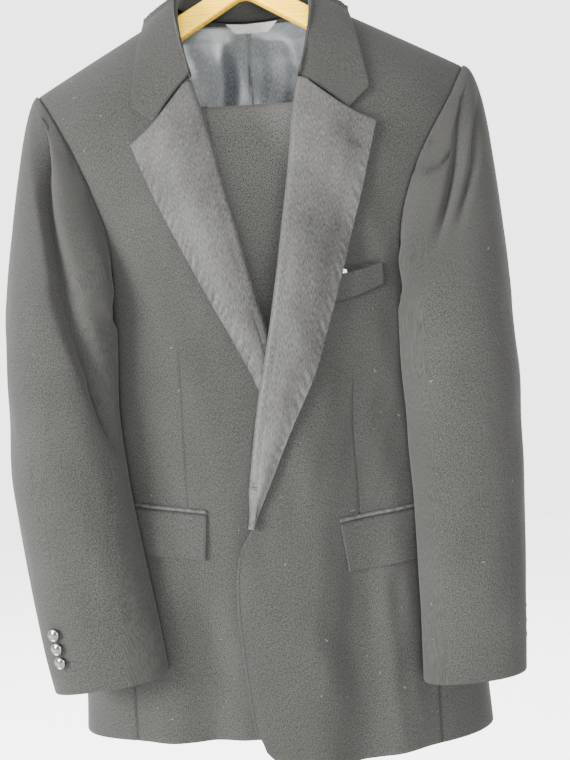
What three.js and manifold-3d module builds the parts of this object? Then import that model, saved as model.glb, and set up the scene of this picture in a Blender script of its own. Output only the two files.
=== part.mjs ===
// A two-piece evening suit on a wooden hanger: a single-breasted jacket with satin
// lapels, hung over the arms, and the trousers folded over the bar inside it.
//
// Millimetres. +Z is up, -Y is the front of the jacket and +X is the wearer's left.
// The origin is the point where the hook is held, inside the top of its bend.
import * as THREE from "three";
import { mergeVertices } from "three/addons/utils/BufferGeometryUtils.js";
import Module from "manifold-3d";

const V3 = THREE.Vector3;
const wasm = await Module();
wasm.setup();

// Cloth and seams
const WOOL = 1.8; // wall of the wool pieces
const SATIN = 1.6; // wall of the satin-faced lapels, jets and stripe
const SEAM = 0.4; // space between two pieces sewn together
const LAY = 0.8; // space under a piece that lies on a panel

// Shoulders and neck
const SHOULDER = { neckX: 75, neckZ: -122.5, tipX: 236, slope: { right: 0.54, left: 0.505 } };
const RIDGE_Y = 4; // the shoulder seam runs in this plane
const ROUND_OVER = { front: 90, back: 72 }; // drop over which the cloth rounds from the ridge
const SQUARE = 2.3; // squareness of the trunk's section, 2 being an ellipse

// Trunk: half width, and depth in front of and behind the ridge, at each height
const TRUNK = [
  { at: -110, halfWidth: 262, front: 58, back: 33 },
  { at: -210, halfWidth: 258, front: 65, back: 43 },
  { at: -300, halfWidth: 240, front: 78, back: 50 },
  { at: -380, halfWidth: 215, front: 87, back: 52 },
  { at: -450, halfWidth: 204, front: 91, back: 50 },
  { at: -600, halfWidth: 200, front: 93, back: 45 },
  { at: -700, halfWidth: 206, front: 93, back: 47 },
  { at: -800, halfWidth: 215, front: 90, back: 51 },
  { at: -880, halfWidth: 223, front: 88, back: 54 },
  { at: -935, halfWidth: 225, front: 87, back: 56 },
];

// Heights of the main seams and hems. "right" is the wearer's right, at -X.
const FRONT_SEAM_X = 158; // front to side body
const BACK_SEAM_X = 185; // side body to back
const UNDERARM = { frontZ: -440, sideZ: -458, backZ: -430 };
const NECK_BACK = { centreZ: -128, sideZ: -122.5 };
const CENTRE_HEM_Z = -918;

// What differs between the two halves as the jacket hangs
const HALVES = {
  right: {
    side: -1,
    hemZ: -905,
    hemRise: 0,
    backHemZ: -911,
    armholeShift: 1,
    lift: 0,
    edge: [
      { at: -130, x: 77 }, { at: -160, x: 76 }, { at: -200, x: 71.5 }, { at: -226, x: 66 },
      { at: -278, x: 51.5 }, { at: -332, x: 39.5 }, { at: -405, x: 23 }, { at: -457, x: 11 },
      { at: -500, x: 0 }, { at: -559, x: -12 }, { at: -610, x: -20 }, { at: -668, x: -26 },
      { at: -740, x: -30 }, { at: -830, x: -28 }, { at: -905, x: -20 },
    ],
    lapel: [
      { along: 0, rollZ: -226, outX: 126, outZ: -288 },
      { along: 0.15, rollZ: -278, outX: 107, outZ: -338 },
      { along: 0.3, rollZ: -341, outX: 82, outZ: -394 },
      { along: 0.45, rollZ: -410, outX: 59, outZ: -443 },
      { along: 0.6, rollZ: -478, outX: 36, outZ: -490 },
      { along: 0.75, rollZ: -545, outX: 10, outZ: -547 },
      { along: 0.88, rollZ: -604, outX: -5, outZ: -604 },
      { along: 1, rollZ: -656, outX: -15, outZ: -654 },
    ],
    gorge: 7,
    pocket: { x: 70, z: -671, rise: 0.135, tall: 47, lean: 0.08 },
    sleeve: [
      { at: -480, outer: 270, inner: 144, front: -114, back: 30 },
      { at: -540, outer: 271, inner: 147, front: -117, back: 22 },
      { at: -600, outer: 269, inner: 147, front: -118, back: 4 },
      { at: -650, outer: 266, inner: 141, front: -118, back: -14 },
      { at: -730, outer: 254, inner: 130, front: -117, back: -30 },
      { at: -790, outer: 244, inner: 121, front: -116, back: -44 },
      { at: -834.5, outer: 234, inner: 116, front: -114, back: -54 },
    ],
    capOut: 0.27,
    overhang: 7,
    cuffSlant: 6.5,
    elbowSeam: { top: -88, bottom: 8 },
    buttons: { angle: 53, clear: 0.4, z: [-774, -787.5, -801] },
  },
  left: {
    side: 1,
    hemZ: -934,
    hemRise: 7,
    backHemZ: -924,
    armholeShift: -8,
    lift: 13,
    edge: [
      { at: -130, x: 74.5 }, { at: -160, x: 72.3 }, { at: -200, x: 65.5 }, { at: -229, x: 56.5 },
      { at: -263, x: 49 }, { at: -316, x: 41.5 }, { at: -365, x: 33.5 }, { at: -449, x: 19 },
      { at: -519, x: 5 }, { at: -559, x: -4 }, { at: -599, x: -11 }, { at: -644, x: -18 },
      { at: -688, x: -25 }, { at: -703, x: -34 }, { at: -718, x: -39.5 }, { at: -745, x: -43 },
      { at: -780, x: -43 }, { at: -840, x: -39 }, { at: -898, x: -33 }, { at: -934, x: -24 },
    ],
    lapel: [
      { along: 0, rollZ: -229, outX: 128, outZ: -278 },
      { along: 0.15, rollZ: -290, outX: 112, outZ: -336 },
      { along: 0.3, rollZ: -357, outX: 90, outZ: -408 },
      { along: 0.45, rollZ: -435, outX: 67, outZ: -478 },
      { along: 0.6, rollZ: -508, outX: 46, outZ: -538 },
      { along: 0.75, rollZ: -580, outX: 20, outZ: -592 },
      { along: 0.88, rollZ: -636, outX: 1, outZ: -638 },
      { along: 1, rollZ: -686, outX: -19, outZ: -686 },
    ],
    gorge: 6,
    pocket: { x: 64, z: -687, rise: 0.1, tall: 51, lean: 0.125 },
    sleeve: [
      { at: -480, outer: 260, inner: 129, front: -114, back: 30 },
      { at: -540, outer: 262, inner: 130, front: -117, back: 22 },
      { at: -600, outer: 260, inner: 133, front: -118, back: 4 },
      { at: -650, outer: 257, inner: 137, front: -118, back: -14 },
      { at: -730, outer: 252, inner: 139, front: -117, back: -30 },
      { at: -790, outer: 248, inner: 139, front: -116, back: -44 },
      { at: -849.5, outer: 244, inner: 138, front: -114, back: -54 },
    ],
    capOut: 0.38,
    overhang: 10,
    cuffSlant: -3.5,
    elbowSeam: { top: -88, bottom: -14 },
    buttons: { angle: -18, clear: 0.1, z: [-790, -804.5, -819] },
  },
};
for (const [name, half] of Object.entries(HALVES))
  half.tipZ = SHOULDER.neckZ - SHOULDER.slope[name] * (SHOULDER.tipX - SHOULDER.neckX);

// Armhole: how far out its edge lies at each height, on the front and on the back
const ARMHOLE_FRONT = [
  { at: -440, x: 158 }, { at: -420, x: 154.5 }, { at: -388, x: 156 }, { at: -359, x: 163 },
  { at: -318, x: 178 }, { at: -284, x: 193 }, { at: -237, x: 218 },
];
const ARMHOLE_BACK = [
  { at: -430, x: 185 }, { at: -400, x: 174 }, { at: -360, x: 171 }, { at: -320, x: 177 },
  { at: -280, x: 190 }, { at: -240, x: 215 },
];
// Angle round the sleeve, 0 at the shoulder tip and 90 at the front, against armhole height
const SLEEVE_HEAD_FRONT = [
  { angle: 30, z: -236 }, { angle: 60, z: -290 },
  { angle: 90, z: -350 }, { angle: 115, z: -400 }, { angle: 140, z: UNDERARM.frontZ },
];
const SLEEVE_HEAD_BACK = [
  { angle: 215, z: UNDERARM.backZ }, { angle: 240, z: -395 }, { angle: 270, z: -335 },
  { angle: 300, z: -280 }, { angle: 330, z: -232 },
];

const clamp = (v, low, high) => Math.min(high, Math.max(low, v));
const radians = THREE.MathUtils.degToRad;
const ease = (low, high, v) => THREE.MathUtils.smoothstep(v, Math.min(low, high), Math.max(low, high));
const bell = (v, centre, width) => Math.exp(-(((v - centre) / width) ** 2));
const spaced = (count, from = 0, to = 1) =>
  Array.from({ length: count + 1 }, (_, i) => from + ((to - from) * i) / count);

// A smooth curve through one column of a table, against another column
function through(rows, key, value) {
  const r = [...rows].sort((a, b) => a[key] - b[key]);
  const slope = r.map((_, i) => {
    const a = r[Math.max(0, i - 1)];
    const b = r[Math.min(r.length - 1, i + 1)];
    return (b[value] - a[value]) / (b[key] - a[key]);
  });
  return (at) => {
    if (at <= r[0][key]) return r[0][value];
    if (at >= r[r.length - 1][key]) return r[r.length - 1][value];
    let i = 0;
    while (at > r[i + 1][key]) i++;
    const step = r[i + 1][key] - r[i][key];
    const t = (at - r[i][key]) / step;
    return (
      (2 * t ** 3 - 3 * t * t + 1) * r[i][value] +
      (t ** 3 - 2 * t * t + t) * step * slope[i] +
      (3 * t * t - 2 * t ** 3) * r[i + 1][value] +
      (t ** 3 - t * t) * step * slope[i + 1]
    );
  };
}

// Trunk surface

const halfWidth = through(TRUNK, "at", "halfWidth");
const frontDepth = through(TRUNK, "at", "front");
const backDepth = through(TRUNK, "at", "back");
const depthOf = (z, face) => (face < 0 ? frontDepth(z) : backDepth(z));
const slopeAt = (x) => (x < 0 ? SHOULDER.slope.right : SHOULDER.slope.left);
const shoulderZ = (x) => SHOULDER.neckZ - slopeAt(x) * (Math.abs(x) - SHOULDER.neckX);
const shoulderX = (z) => SHOULDER.neckX + (SHOULDER.neckZ - z) / SHOULDER.slope.right;

// How deep the trunk is at a width and height, before the shoulder rounds it off
function fullness(x, z, face) {
  const share = Math.min(Math.abs(x) / halfWidth(z), 0.9995);
  return depthOf(z, face) * (1 - share ** SQUARE) ** (1 / SQUARE);
}

// 1 at the ridge and 0 where the shoulder's rounding has ended
function nearRidge(x, z, face) {
  const over = face < 0 ? ROUND_OVER.front : ROUND_OVER.back;
  return 1 - clamp((shoulderZ(x) - z) / over, 0, 1);
}

function trunkPoint(x, z, face) {
  const near = nearRidge(x, z, face);
  const depth = fullness(x, z, face) * Math.sqrt(1 - near * near);
  return new V3(x, RIDGE_Y + face * (depth + SEAM / 2), z);
}

// Outward normal, from the gradient of the surface's own equation
function trunkNormal(x, z, face) {
  const over = face < 0 ? ROUND_OVER.front : ROUND_OVER.back;
  const near = nearRidge(x, z, face);
  const full = fullness(x, z, face);
  const share = 1 - near * near; // (depth / full) squared
  const step = 0.5;
  const fullX = (fullness(x + step, z, face) - fullness(x - step, z, face)) / (2 * step);
  const fullZ = (fullness(x, z + step, face) - fullness(x, z - step, face)) / (2 * step);
  return new V3(
    (-share * fullX) / full + (near * slopeAt(x) * Math.sign(x)) / over,
    (face * Math.sqrt(share)) / full,
    (-share * fullZ) / full + near / over,
  ).normalize();
}

// The trunk as a closed ring at one height: 0 is centre front, 90 the side, 180 centre back
function trunkRing(side, angle, z) {
  const face = angle < 90 ? -1 : 1;
  const sine = Math.max(0, Math.sin(radians(angle)));
  const cosine = Math.abs(Math.cos(radians(angle)));
  return new V3(
    side * halfWidth(z) * sine ** (2 / SQUARE),
    RIDGE_Y + face * (depthOf(z, face) * cosine ** (2 / SQUARE) + SEAM / 2),
    z,
  );
}
const ringAngle = (x, z) => THREE.MathUtils.radToDeg(Math.asin((x / halfWidth(z)) ** (SQUARE / 2)));

// Folds of the fronts, as rises off the trunk's surface
function frontRise(half, x, z) {
  const out = Math.abs(x);
  const overlap = half.lift * (1 - ease(30, 95, half.side * x)) * (1 - ease(-430, -340, z));
  const hipFold = 5 * bell(out, 118, 22) * (1 - ease(-760, -640, z));
  const hipTrough = -5 * bell(out, 72, 20) * (1 - ease(-800, -700, z));
  const chestDent = half.side > 0 ? -5 * bell(out, 104, 17) * bell(z, -408, 17) : 0;
  return overlap + hipFold + hipTrough + chestDent;
}

function onFront(half, x, z, lift = 0) {
  const rise = frontRise(half, x, z) + lift;
  return trunkPoint(x, z, -1).addScaledVector(trunkNormal(x, z, -1), rise);
}

// Solids from grids of points

function geometryOf(points, faces) {
  const geometry = new THREE.BufferGeometry();
  geometry.setAttribute("position", new THREE.Float32BufferAttribute(points.flatMap((p) => [p.x, p.y, p.z]), 3));
  let volume = 0;
  for (const [a, b, c] of faces) volume += points[a].dot(points[b].clone().cross(points[c]));
  geometry.setIndex((volume < 0 ? faces.map(([a, b, c]) => [a, c, b]) : faces).flat());
  geometry.computeVertexNormals();
  return geometry;
}

// A wall of cloth: a grid of outer points, the same points moved in, and a rim between them
function clothWall(us, vs, outerPoint, normal, thickness) {
  const points = [];
  for (const layer of [0, 1])
    for (const v of vs)
      for (const u of us) {
        const p = outerPoint(u, v);
        points.push(layer ? p.addScaledVector(normal(u, v), -thickness) : p);
      }
  const columns = us.length;
  const rows = vs.length;
  const at = (layer, row, column) => (layer * rows + row) * columns + column;
  const faces = [];
  // Each four-cornered face is split along its shorter diagonal
  const quad = (a, b, c, d) => {
    if (points[a].distanceTo(points[c]) < points[b].distanceTo(points[d]) + 1e-6) faces.push([a, b, c], [a, c, d]);
    else faces.push([a, b, d], [b, c, d]);
  };
  for (let r = 0; r + 1 < rows; r++)
    for (let c = 0; c + 1 < columns; c++) {
      quad(at(0, r, c), at(0, r, c + 1), at(0, r + 1, c + 1), at(0, r + 1, c));
      quad(at(1, r, c), at(1, r + 1, c), at(1, r + 1, c + 1), at(1, r, c + 1));
    }
  for (let c = 0; c + 1 < columns; c++) {
    quad(at(0, 0, c), at(1, 0, c), at(1, 0, c + 1), at(0, 0, c + 1));
    quad(at(0, rows - 1, c), at(0, rows - 1, c + 1), at(1, rows - 1, c + 1), at(1, rows - 1, c));
  }
  for (let r = 0; r + 1 < rows; r++) {
    quad(at(0, r, 0), at(0, r + 1, 0), at(1, r + 1, 0), at(1, r, 0));
    quad(at(0, r, columns - 1), at(1, r, columns - 1), at(1, r + 1, columns - 1), at(0, r + 1, columns - 1));
  }
  return geometryOf(points, faces);
}

// The normal of a sheet, from its own neighbouring points
function sheetNormal(outerPoint, facing = 1, step = 0.01) {
  return (u, v) => {
    const along = outerPoint(u + step, v).sub(outerPoint(u - step, v));
    const across = outerPoint(u, v + step).sub(outerPoint(u, v - step));
    return along.cross(across).multiplyScalar(facing).normalize();
  };
}

// A solid skinned over closed rings of points, with its two ends capped
function skinned(rings) {
  const count = rings[0].length;
  const faces = [];
  for (let r = 0; r + 1 < rings.length; r++)
    for (let i = 0; i < count; i++) {
      const next = (i + 1) % count;
      const a = r * count + i;
      const b = r * count + next;
      faces.push([a, b, b + count], [a, b + count, a + count]);
    }
  const last = (rings.length - 1) * count;
  for (let i = 1; i + 1 < count; i++) faces.push([0, i + 1, i], [last, last + i, last + i + 1]);
  return geometryOf(rings.flat(), faces);
}

function solidOf(geometry) {
  const bare = geometry.clone();
  bare.deleteAttribute("normal");
  bare.deleteAttribute("uv");
  const merged = mergeVertices(bare, 1e-3);
  return new wasm.Manifold(
    new wasm.Mesh({
      numProp: 3,
      vertProperties: merged.attributes.position.array,
      triVerts: new Uint32Array(merged.index.array),
    }),
  );
}

function cutFrom(geometry, ...tools) {
  let solid = solidOf(geometry);
  for (const tool of tools) solid = solid.subtract(solidOf(tool));
  const mesh = solid.getMesh();
  return new THREE.BufferGeometry()
    .setAttribute("position", new THREE.BufferAttribute(mesh.vertProperties, 3))
    .setIndex(new THREE.BufferAttribute(mesh.triVerts, 1));
}

// Materials
const cloth = (color, roughness) => new THREE.MeshStandardMaterial({ color, roughness, metalness: 0 });
const WOOL_FINISH = cloth(0x2b2d2e, 0.9);
const SATIN_FINISH = cloth(0x3b393b, 0.5);
const LINING_FINISH = cloth(0x45525c, 0.4);
const LABEL_FINISH = cloth(0x6a655c, 0.7);
const WOOD_FINISH = cloth(0xd9a14e, 0.45);
const BUTTON_FINISH = new THREE.MeshStandardMaterial({ color: 0x17181a, roughness: 0.25, metalness: 0 });
const STEEL_FINISH = new THREE.MeshStandardMaterial({ color: 0xc8cacc, roughness: 0.25, metalness: 1 });

const suit = new THREE.Group();
function add(name, geometry, material) {
  const mesh = new THREE.Mesh(geometry, material);
  mesh.name = name;
  suit.add(mesh);
  return mesh;
}

// Jacket fronts

for (const half of Object.values(HALVES)) {
  const tip = { at: half.tipZ, x: SHOULDER.tipX };
  half.armholeFrontX = through([...ARMHOLE_FRONT, tip], "at", "x");
  half.armholeBackX = through([...ARMHOLE_BACK, tip], "at", "x");
}
// The armhole's edge on one half, moved in or out low down
function armholeX(half, z, face) {
  const edge = face < 0 ? half.armholeFrontX(z) : half.armholeBackX(z);
  const low = face < 0 ? half.armholeShift * (1 - ease(-340, -240, z)) * ease(-440, -405, z) : 0;
  return edge + low;
}

const UPPER_ROWS = [0, 0.004, 0.02, 0.06, 0.12, 0.2, 0.3, 0.41, 0.53, 0.65, 0.77, 0.89, 1];
const LOWER_ROWS = [1.1, 1.2, 1.3, 1.39, 1.45, 1.485, 1.53, 1.62, 1.71, 1.8, 1.88, 1.95, 2];

// v runs from 0 at the shoulder seam, through 1 at the underarm, to 2 at the hem
function frontPanel(name, half) {
  const edgeX = through(half.edge, "at", "x");
  const corner = { rise: 22, reach: 34 }; // the rounded corner at the bottom of the edge
  const place = (u, v) => {
    if (v < 1) {
      const edgeZ = THREE.MathUtils.lerp(shoulderZ(half.side * edgeX(-125)), UNDERARM.frontZ, v);
      const holeZ = THREE.MathUtils.lerp(half.tipZ, UNDERARM.frontZ, v);
      const x = THREE.MathUtils.lerp(edgeX(edgeZ), armholeX(half, holeZ, -1), u);
      return [half.side * x, THREE.MathUtils.lerp(edgeZ, holeZ, u)];
    }
    const level = THREE.MathUtils.lerp(UNDERARM.frontZ, half.hemZ, v - 1);
    const x = THREE.MathUtils.lerp(edgeX(level), Math.min(armholeX(half, level, -1), FRONT_SEAM_X - SEAM / 2), u);
    const z = level + half.hemRise * ease(50, FRONT_SEAM_X, x) * (v - 1);
    const cut = corner.rise * (1 - clamp((x - edgeX(level)) / corner.reach, 0, 1)) ** 2;
    return [half.side * x, z + cut * (1 - ease(half.hemZ, half.hemZ + 60, level))];
  };
  const point = (u, v) => onFront(half, ...place(u, v));
  const normal = (u, v) => trunkNormal(...place(u, v), -1);
  const columns = [0, 0.06, 0.16, 0.28, 0.4, 0.52, 0.64, 0.76, 0.88, 1];
  add(name, clothWall(columns, [...UPPER_ROWS, ...LOWER_ROWS], point, normal, WOOL), WOOL_FINISH);
}

// Side bodies, under the arms, and the two backs

function underarmZ(share) {
  const low = Math.sin(Math.PI * share);
  const level = THREE.MathUtils.lerp(UNDERARM.frontZ, UNDERARM.backZ, share);
  return level + low * (UNDERARM.sideZ - (UNDERARM.frontZ + UNDERARM.backZ) / 2);
}

function sideBody(name, half) {
  const point = (u, v) => {
    const hemZ = THREE.MathUtils.lerp(half.hemZ + half.hemRise, half.backHemZ, u);
    const z = THREE.MathUtils.lerp(hemZ, underarmZ(u), v);
    const from = ringAngle(FRONT_SEAM_X + SEAM / 2, z);
    const to = 180 - ringAngle(BACK_SEAM_X + SEAM / 2, z);
    return trunkRing(half.side, THREE.MathUtils.lerp(from, to, u), z);
  };
  const normal = sheetNormal((u, v) => point(clamp(u, 0, 1), clamp(v, 0, 1)), half.side);
  add(name, clothWall(spaced(6), spaced(9), point, normal, WOOL), WOOL_FINISH);
}

function backPanel(name, half) {
  const neckZ = (x) => THREE.MathUtils.lerp(NECK_BACK.centreZ, NECK_BACK.sideZ, (x / SHOULDER.neckX) ** 2);
  const topZ = (x) => (x < SHOULDER.neckX ? neckZ(x) : shoulderZ(half.side * x));
  const place = (u, v) => {
    if (v < 1) {
      const holeZ = THREE.MathUtils.lerp(half.tipZ, UNDERARM.backZ, v);
      const x = THREE.MathUtils.lerp(SEAM / 2, armholeX(half, holeZ, 1), u);
      return [half.side * x, THREE.MathUtils.lerp(topZ(u * SHOULDER.tipX), UNDERARM.backZ, v)];
    }
    const x = THREE.MathUtils.lerp(SEAM / 2, BACK_SEAM_X - SEAM / 2, u);
    const hemZ = THREE.MathUtils.lerp(CENTRE_HEM_Z, half.backHemZ, u);
    return [half.side * x, THREE.MathUtils.lerp(UNDERARM.backZ, hemZ, v - 1)];
  };
  const rows = [0, 0.004, 0.02, 0.06, 0.13, 0.22, 0.34, 0.48, 0.62, 0.81, 1, 1.2, 1.4, 1.6, 1.8, 2];
  const columns = [0, 0.11, 0.215, SHOULDER.neckX / SHOULDER.tipX, 0.45, 0.6, 0.75, 0.88, 1];
  const point = (u, v) => trunkPoint(...place(u, v), 1);
  const normal = (u, v) => trunkNormal(...place(u, v), 1);
  add(name, clothWall(columns, rows, point, normal, WOOL), WOOL_FINISH);
}

// Sleeves

// Moves a point of a sleeve off the trunk, so that the sleeve lies against it
function clearOfTrunk(p) {
  const clear = THREE.MathUtils.lerp(1.05, 1.035, ease(-560, -480, p.z));
  const depth = depthOf(p.z, p.y < RIDGE_Y ? -1 : 1);
  const reach = ((Math.abs(p.x) / halfWidth(p.z)) ** SQUARE + (Math.abs(p.y - RIDGE_Y) / depth) ** SQUARE) ** (1 / SQUARE);
  const short = reach - clear;
  const wanted = (reach + clear + Math.sqrt(short * short + 0.004)) / 2;
  p.x *= wanted / reach;
  p.y = RIDGE_Y + (p.y - RIDGE_Y) * (wanted / reach);
  return p;
}

// The armhole's edge, as the sleeve's angle runs round it
for (const half of Object.values(HALVES)) {
  half.headFrontZ = through([{ angle: 0, z: half.tipZ }, ...SLEEVE_HEAD_FRONT], "angle", "z");
  half.headBackZ = through([...SLEEVE_HEAD_BACK, { angle: 360, z: half.tipZ }], "angle", "z");
}
function armholeEdge(half, angle) {
  const turn = ((angle % 360) + 360) % 360;
  const off = 1;
  const beside = new V3(half.side * off * 0.6, 0, 0);
  if (turn > 140 && turn < 215) {
    const share = (turn - 140) / 75;
    const z = underarmZ(share);
    const from = ringAngle(FRONT_SEAM_X, z);
    const to = 180 - ringAngle(BACK_SEAM_X, z);
    const p = trunkRing(half.side, THREE.MathUtils.lerp(from, to, share), z);
    return p.multiply(new V3(1.006, 1.006, 1)).add(beside);
  }
  const face = turn <= 140 ? -1 : 1;
  const z = face < 0 ? half.headFrontZ(turn) : half.headBackZ(turn);
  const x = half.side * armholeX(half, z, face);
  return trunkPoint(x, z, face).addScaledVector(trunkNormal(x, z, face), off).add(beside);
}

// Where a sleeve's deepest fold runs: how far out it is at each height, and how far it dips
const SLEEVE_FOLDS = {
  right: {
    line: [
      { at: -215, x: 240 }, { at: -233, x: 237 }, { at: -280, x: 229 }, { at: -330, x: 222 }, { at: -397, x: 208 },
      { at: -468, x: 192 }, { at: -521, x: 176 }, { at: -572, x: 164 }, { at: -600, x: 157 },
    ],
    dip: 12, from: -620, to: -222,
  },
  left: {
    line: [
      { at: -215, x: 238 }, { at: -240, x: 234 }, { at: -275, x: 226 }, { at: -310, x: 218 }, { at: -345, x: 206 },
      { at: -380, x: 192 }, { at: -420, x: 176 }, { at: -470, x: 160 },
    ],
    dip: 9, from: -430, to: -222,
  },
};

function sleevePoints(half, fold) {
  const outer = through(half.sleeve, "at", "outer");
  const inner = through(half.sleeve, "at", "inner");
  const front = through(half.sleeve, "at", "front");
  const back = through(half.sleeve, "at", "back");
  const headZ = half.sleeve[0].at;
  const cuffZ = half.sleeve[half.sleeve.length - 1].at;
  const squareness = 2.25;
  const ring = (angle, z) => {
    const c = Math.cos(radians(angle));
    const s = Math.sin(radians(angle));
    const halfX = (outer(z) - inner(z)) / 2;
    const halfY = (back(z) - front(z)) / 2;
    const x = (outer(z) + inner(z)) / 2 + halfX * Math.sign(c) * Math.abs(c) ** (2 / squareness);
    const y = (front(z) + back(z)) / 2 - halfY * Math.sign(s) * Math.abs(s) ** (2 / squareness);
    return clearOfTrunk(new V3(half.side * x, y, z));
  };
  // The cap runs from the armhole to the first full ring, and hangs over the foot of the armhole
  const cap = (angle, t) => {
    const start = armholeEdge(half, angle);
    const end = ring(angle, headZ);
    const long = start.distanceTo(end) + 12;
    const outside = (1 + Math.cos(radians(angle))) / 2; // 1 at the shoulder tip, 0 under the arm
    const out = new V3(half.side * (half.capOut * outside - 0.1), -0.25 * Math.sin(radians(angle)), -0.75 * (1 - outside))
      .multiplyScalar(long);
    const down = new V3(0, 0, -0.8).multiplyScalar(long);
    const p = new V3()
      .addScaledVector(start, 2 * t ** 3 - 3 * t * t + 1)
      .addScaledVector(out, t ** 3 - 2 * t * t + t)
      .addScaledVector(end, 3 * t * t - 2 * t ** 3)
      .addScaledVector(down, t ** 3 - t * t);
    const below = ease(UNDERARM.frontZ - 25, UNDERARM.frontZ, p.z);
    const hung = clearOfTrunk(p.clone()).lerp(p, below);
    const over = half.overhang * bell(angle, 122, 26) * Math.sin(Math.PI * t) ** 0.8;
    return hung.add(new V3(-half.side * over, -0.9 * over, 0));
  };
  // v runs from 0 at the armhole, through 1 at the first full ring, to 2 at the cuff
  const smooth = (angle, v) =>
    v < 1 ? cap(angle, Math.max(0, v)) : ring(angle, THREE.MathUtils.lerp(headZ, cuffZ, v - 1));
  // The angle at which a level of the sleeve crosses the fold's line
  const foldX = through(fold.line, "at", "x");
  const crossing = (v) => {
    let angle = 6;
    const inside = (a) => {
      const p = smooth(a, v);
      return Math.abs(p.x) < foldX(p.z);
    };
    while (angle < 165 && !inside(angle)) angle += 1;
    return angle;
  };
  const foldAngle = through(spaced(40, 0, 2).map((v) => ({ v, angle: crossing(v) })), "v", "angle");
  const point = (angle, v) => {
    const p = smooth(angle, v);
    const centre = new V3((half.side * (outer(p.z) + inner(p.z))) / 2, (front(p.z) + back(p.z)) / 2, p.z);
    const turn = ((angle % 360) + 360) % 360;
    const away = turn - foldAngle(v);
    const along = ease(fold.from, fold.from + 70, p.z) * (1 - ease(fold.to - 40, fold.to, p.z)) * ease(0, 0.2, v);
    const dip = fold.dip * along * (away < 0 ? bell(away, 0, 9) : bell(away, 0, 16));
    p.addScaledVector(centre.sub(p).setZ(0).normalize(), dip);
    const slant = half.cuffSlant * Math.cos(radians(angle)) * ease(1.5, 2, v);
    return p.setZ(p.z - slant);
  };
  return { point, foldAngle };
}

const CAP_ROWS = [0, 0.1, 0.22, 0.36, 0.52, 0.7, 0.86, 1];
const ARM_ROWS = [1.08, 1.18, 1.3, 1.42, 1.55, 1.68, 1.8, 1.9, 2];

function sleeve(half, fold, names) {
  const { point, foldAngle } = sleevePoints(half, fold);
  const seamAt = (v) => THREE.MathUtils.lerp(half.elbowSeam.top, half.elbowSeam.bottom, ease(0.9, 2, v));
  const frontSeamAt = (v) => THREE.MathUtils.lerp(140, 176, ease(0.3, 1.4, v));
  const gap = 0.4; // degrees each side of a seam
  // Columns of the top sleeve: one at the shoulder tip, and closer together where the fold dips
  const topColumns = [0, 0.35, 0.7, 1, 1.3, 1.6, 1.85, 2, 2.12, 2.3, 2.52, 2.76, 3];
  const topPoint = (u, v) => {
    const from = seamAt(v) + gap;
    const to = frontSeamAt(v) - gap;
    const dip = clamp(foldAngle(v), from + 30, to - 12);
    const stops = [from, THREE.MathUtils.lerp(0, (from + dip) / 2, ease(0, 1, v)), dip, to];
    const i = clamp(Math.floor(u), 0, 2);
    return point(THREE.MathUtils.lerp(stops[i], stops[i + 1], u - i), v);
  };
  const underPoint = (u, v) => {
    const from = frontSeamAt(v) + gap;
    const to = seamAt(v) + 360 - gap;
    return point(THREE.MathUtils.lerp(from, to, u), v);
  };
  const rows = [...CAP_ROWS, ...ARM_ROWS];
  const within = (f, most) => (u, v) => f(clamp(u, 0, most), clamp(v, 0, 2));
  add(names.top, clothWall(topColumns, rows, topPoint, sheetNormal(within(topPoint, 3), half.side), WOOL), WOOL_FINISH);
  add(names.under, clothWall(spaced(7), rows, underPoint, sheetNormal(within(underPoint, 1), half.side), WOOL), WOOL_FINISH);
  return point;
}

// Lapels, wrapped round the fronts' edges

// The wrap: distance out from the edge, and lift off the front
const WRAP = [
  { out: 9, lift: -5.4 }, { out: 1, lift: -5.2 }, { out: -3.4, lift: -2.6 }, { out: -4.4, lift: 0.4 },
  { out: -2.4, lift: 3.8 }, { out: 4, lift: 5.4 },
];
const LAPEL_LIFT = 5.6;

function lapel(name, half) {
  const edgeX = through(half.edge, "at", "x");
  const rollZ = through(half.lapel, "along", "rollZ");
  const outX = through(half.lapel, "along", "outX");
  const outZ = through(half.lapel, "along", "outZ");
  const wraps = WRAP.length - 1;
  const point = (u, v) => {
    const z0 = rollZ(v);
    const x0 = edgeX(z0);
    const reach = Math.hypot(outX(v) - x0, outZ(v) - z0);
    const wrapped = (out) => [x0 + Math.min(out, reach * 0.5), z0 + (out * (outZ(v) - z0)) / Math.max(reach, 30)];
    if (u <= wraps) {
      const i = clamp(Math.floor(u), 0, wraps - 1);
      const t = u - i;
      const lift = THREE.MathUtils.lerp(WRAP[i].lift, WRAP[i + 1].lift, t);
      const [x, z] = wrapped(THREE.MathUtils.lerp(WRAP[i].out, WRAP[i + 1].out, t));
      return onFront(half, half.side * x, z, lift);
    }
    const share = u - wraps;
    const [fromX, fromZ] = wrapped(WRAP[wraps].out);
    const x = THREE.MathUtils.lerp(fromX, outX(v), share);
    const z = THREE.MathUtils.lerp(fromZ, outZ(v), share);
    const gorge = half.gorge * Math.sin(Math.PI * share) * (1 - ease(0, 0.14, v));
    return onFront(half, half.side * x, z - gorge, LAPEL_LIFT);
  };
  const within = (u, v) => point(clamp(u, 0, wraps + 1), clamp(v, 0, 1));
  const columns = [0, 1, 2, 3, 4, 5, 5.3, 5.65, 6];
  add(name, clothWall(columns, spaced(13), point, sheetNormal(within, -half.side), SATIN), SATIN_FINISH);
}

// Collar: a strip sewn to the neck, up the stand, over the fold and down the fall

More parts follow.
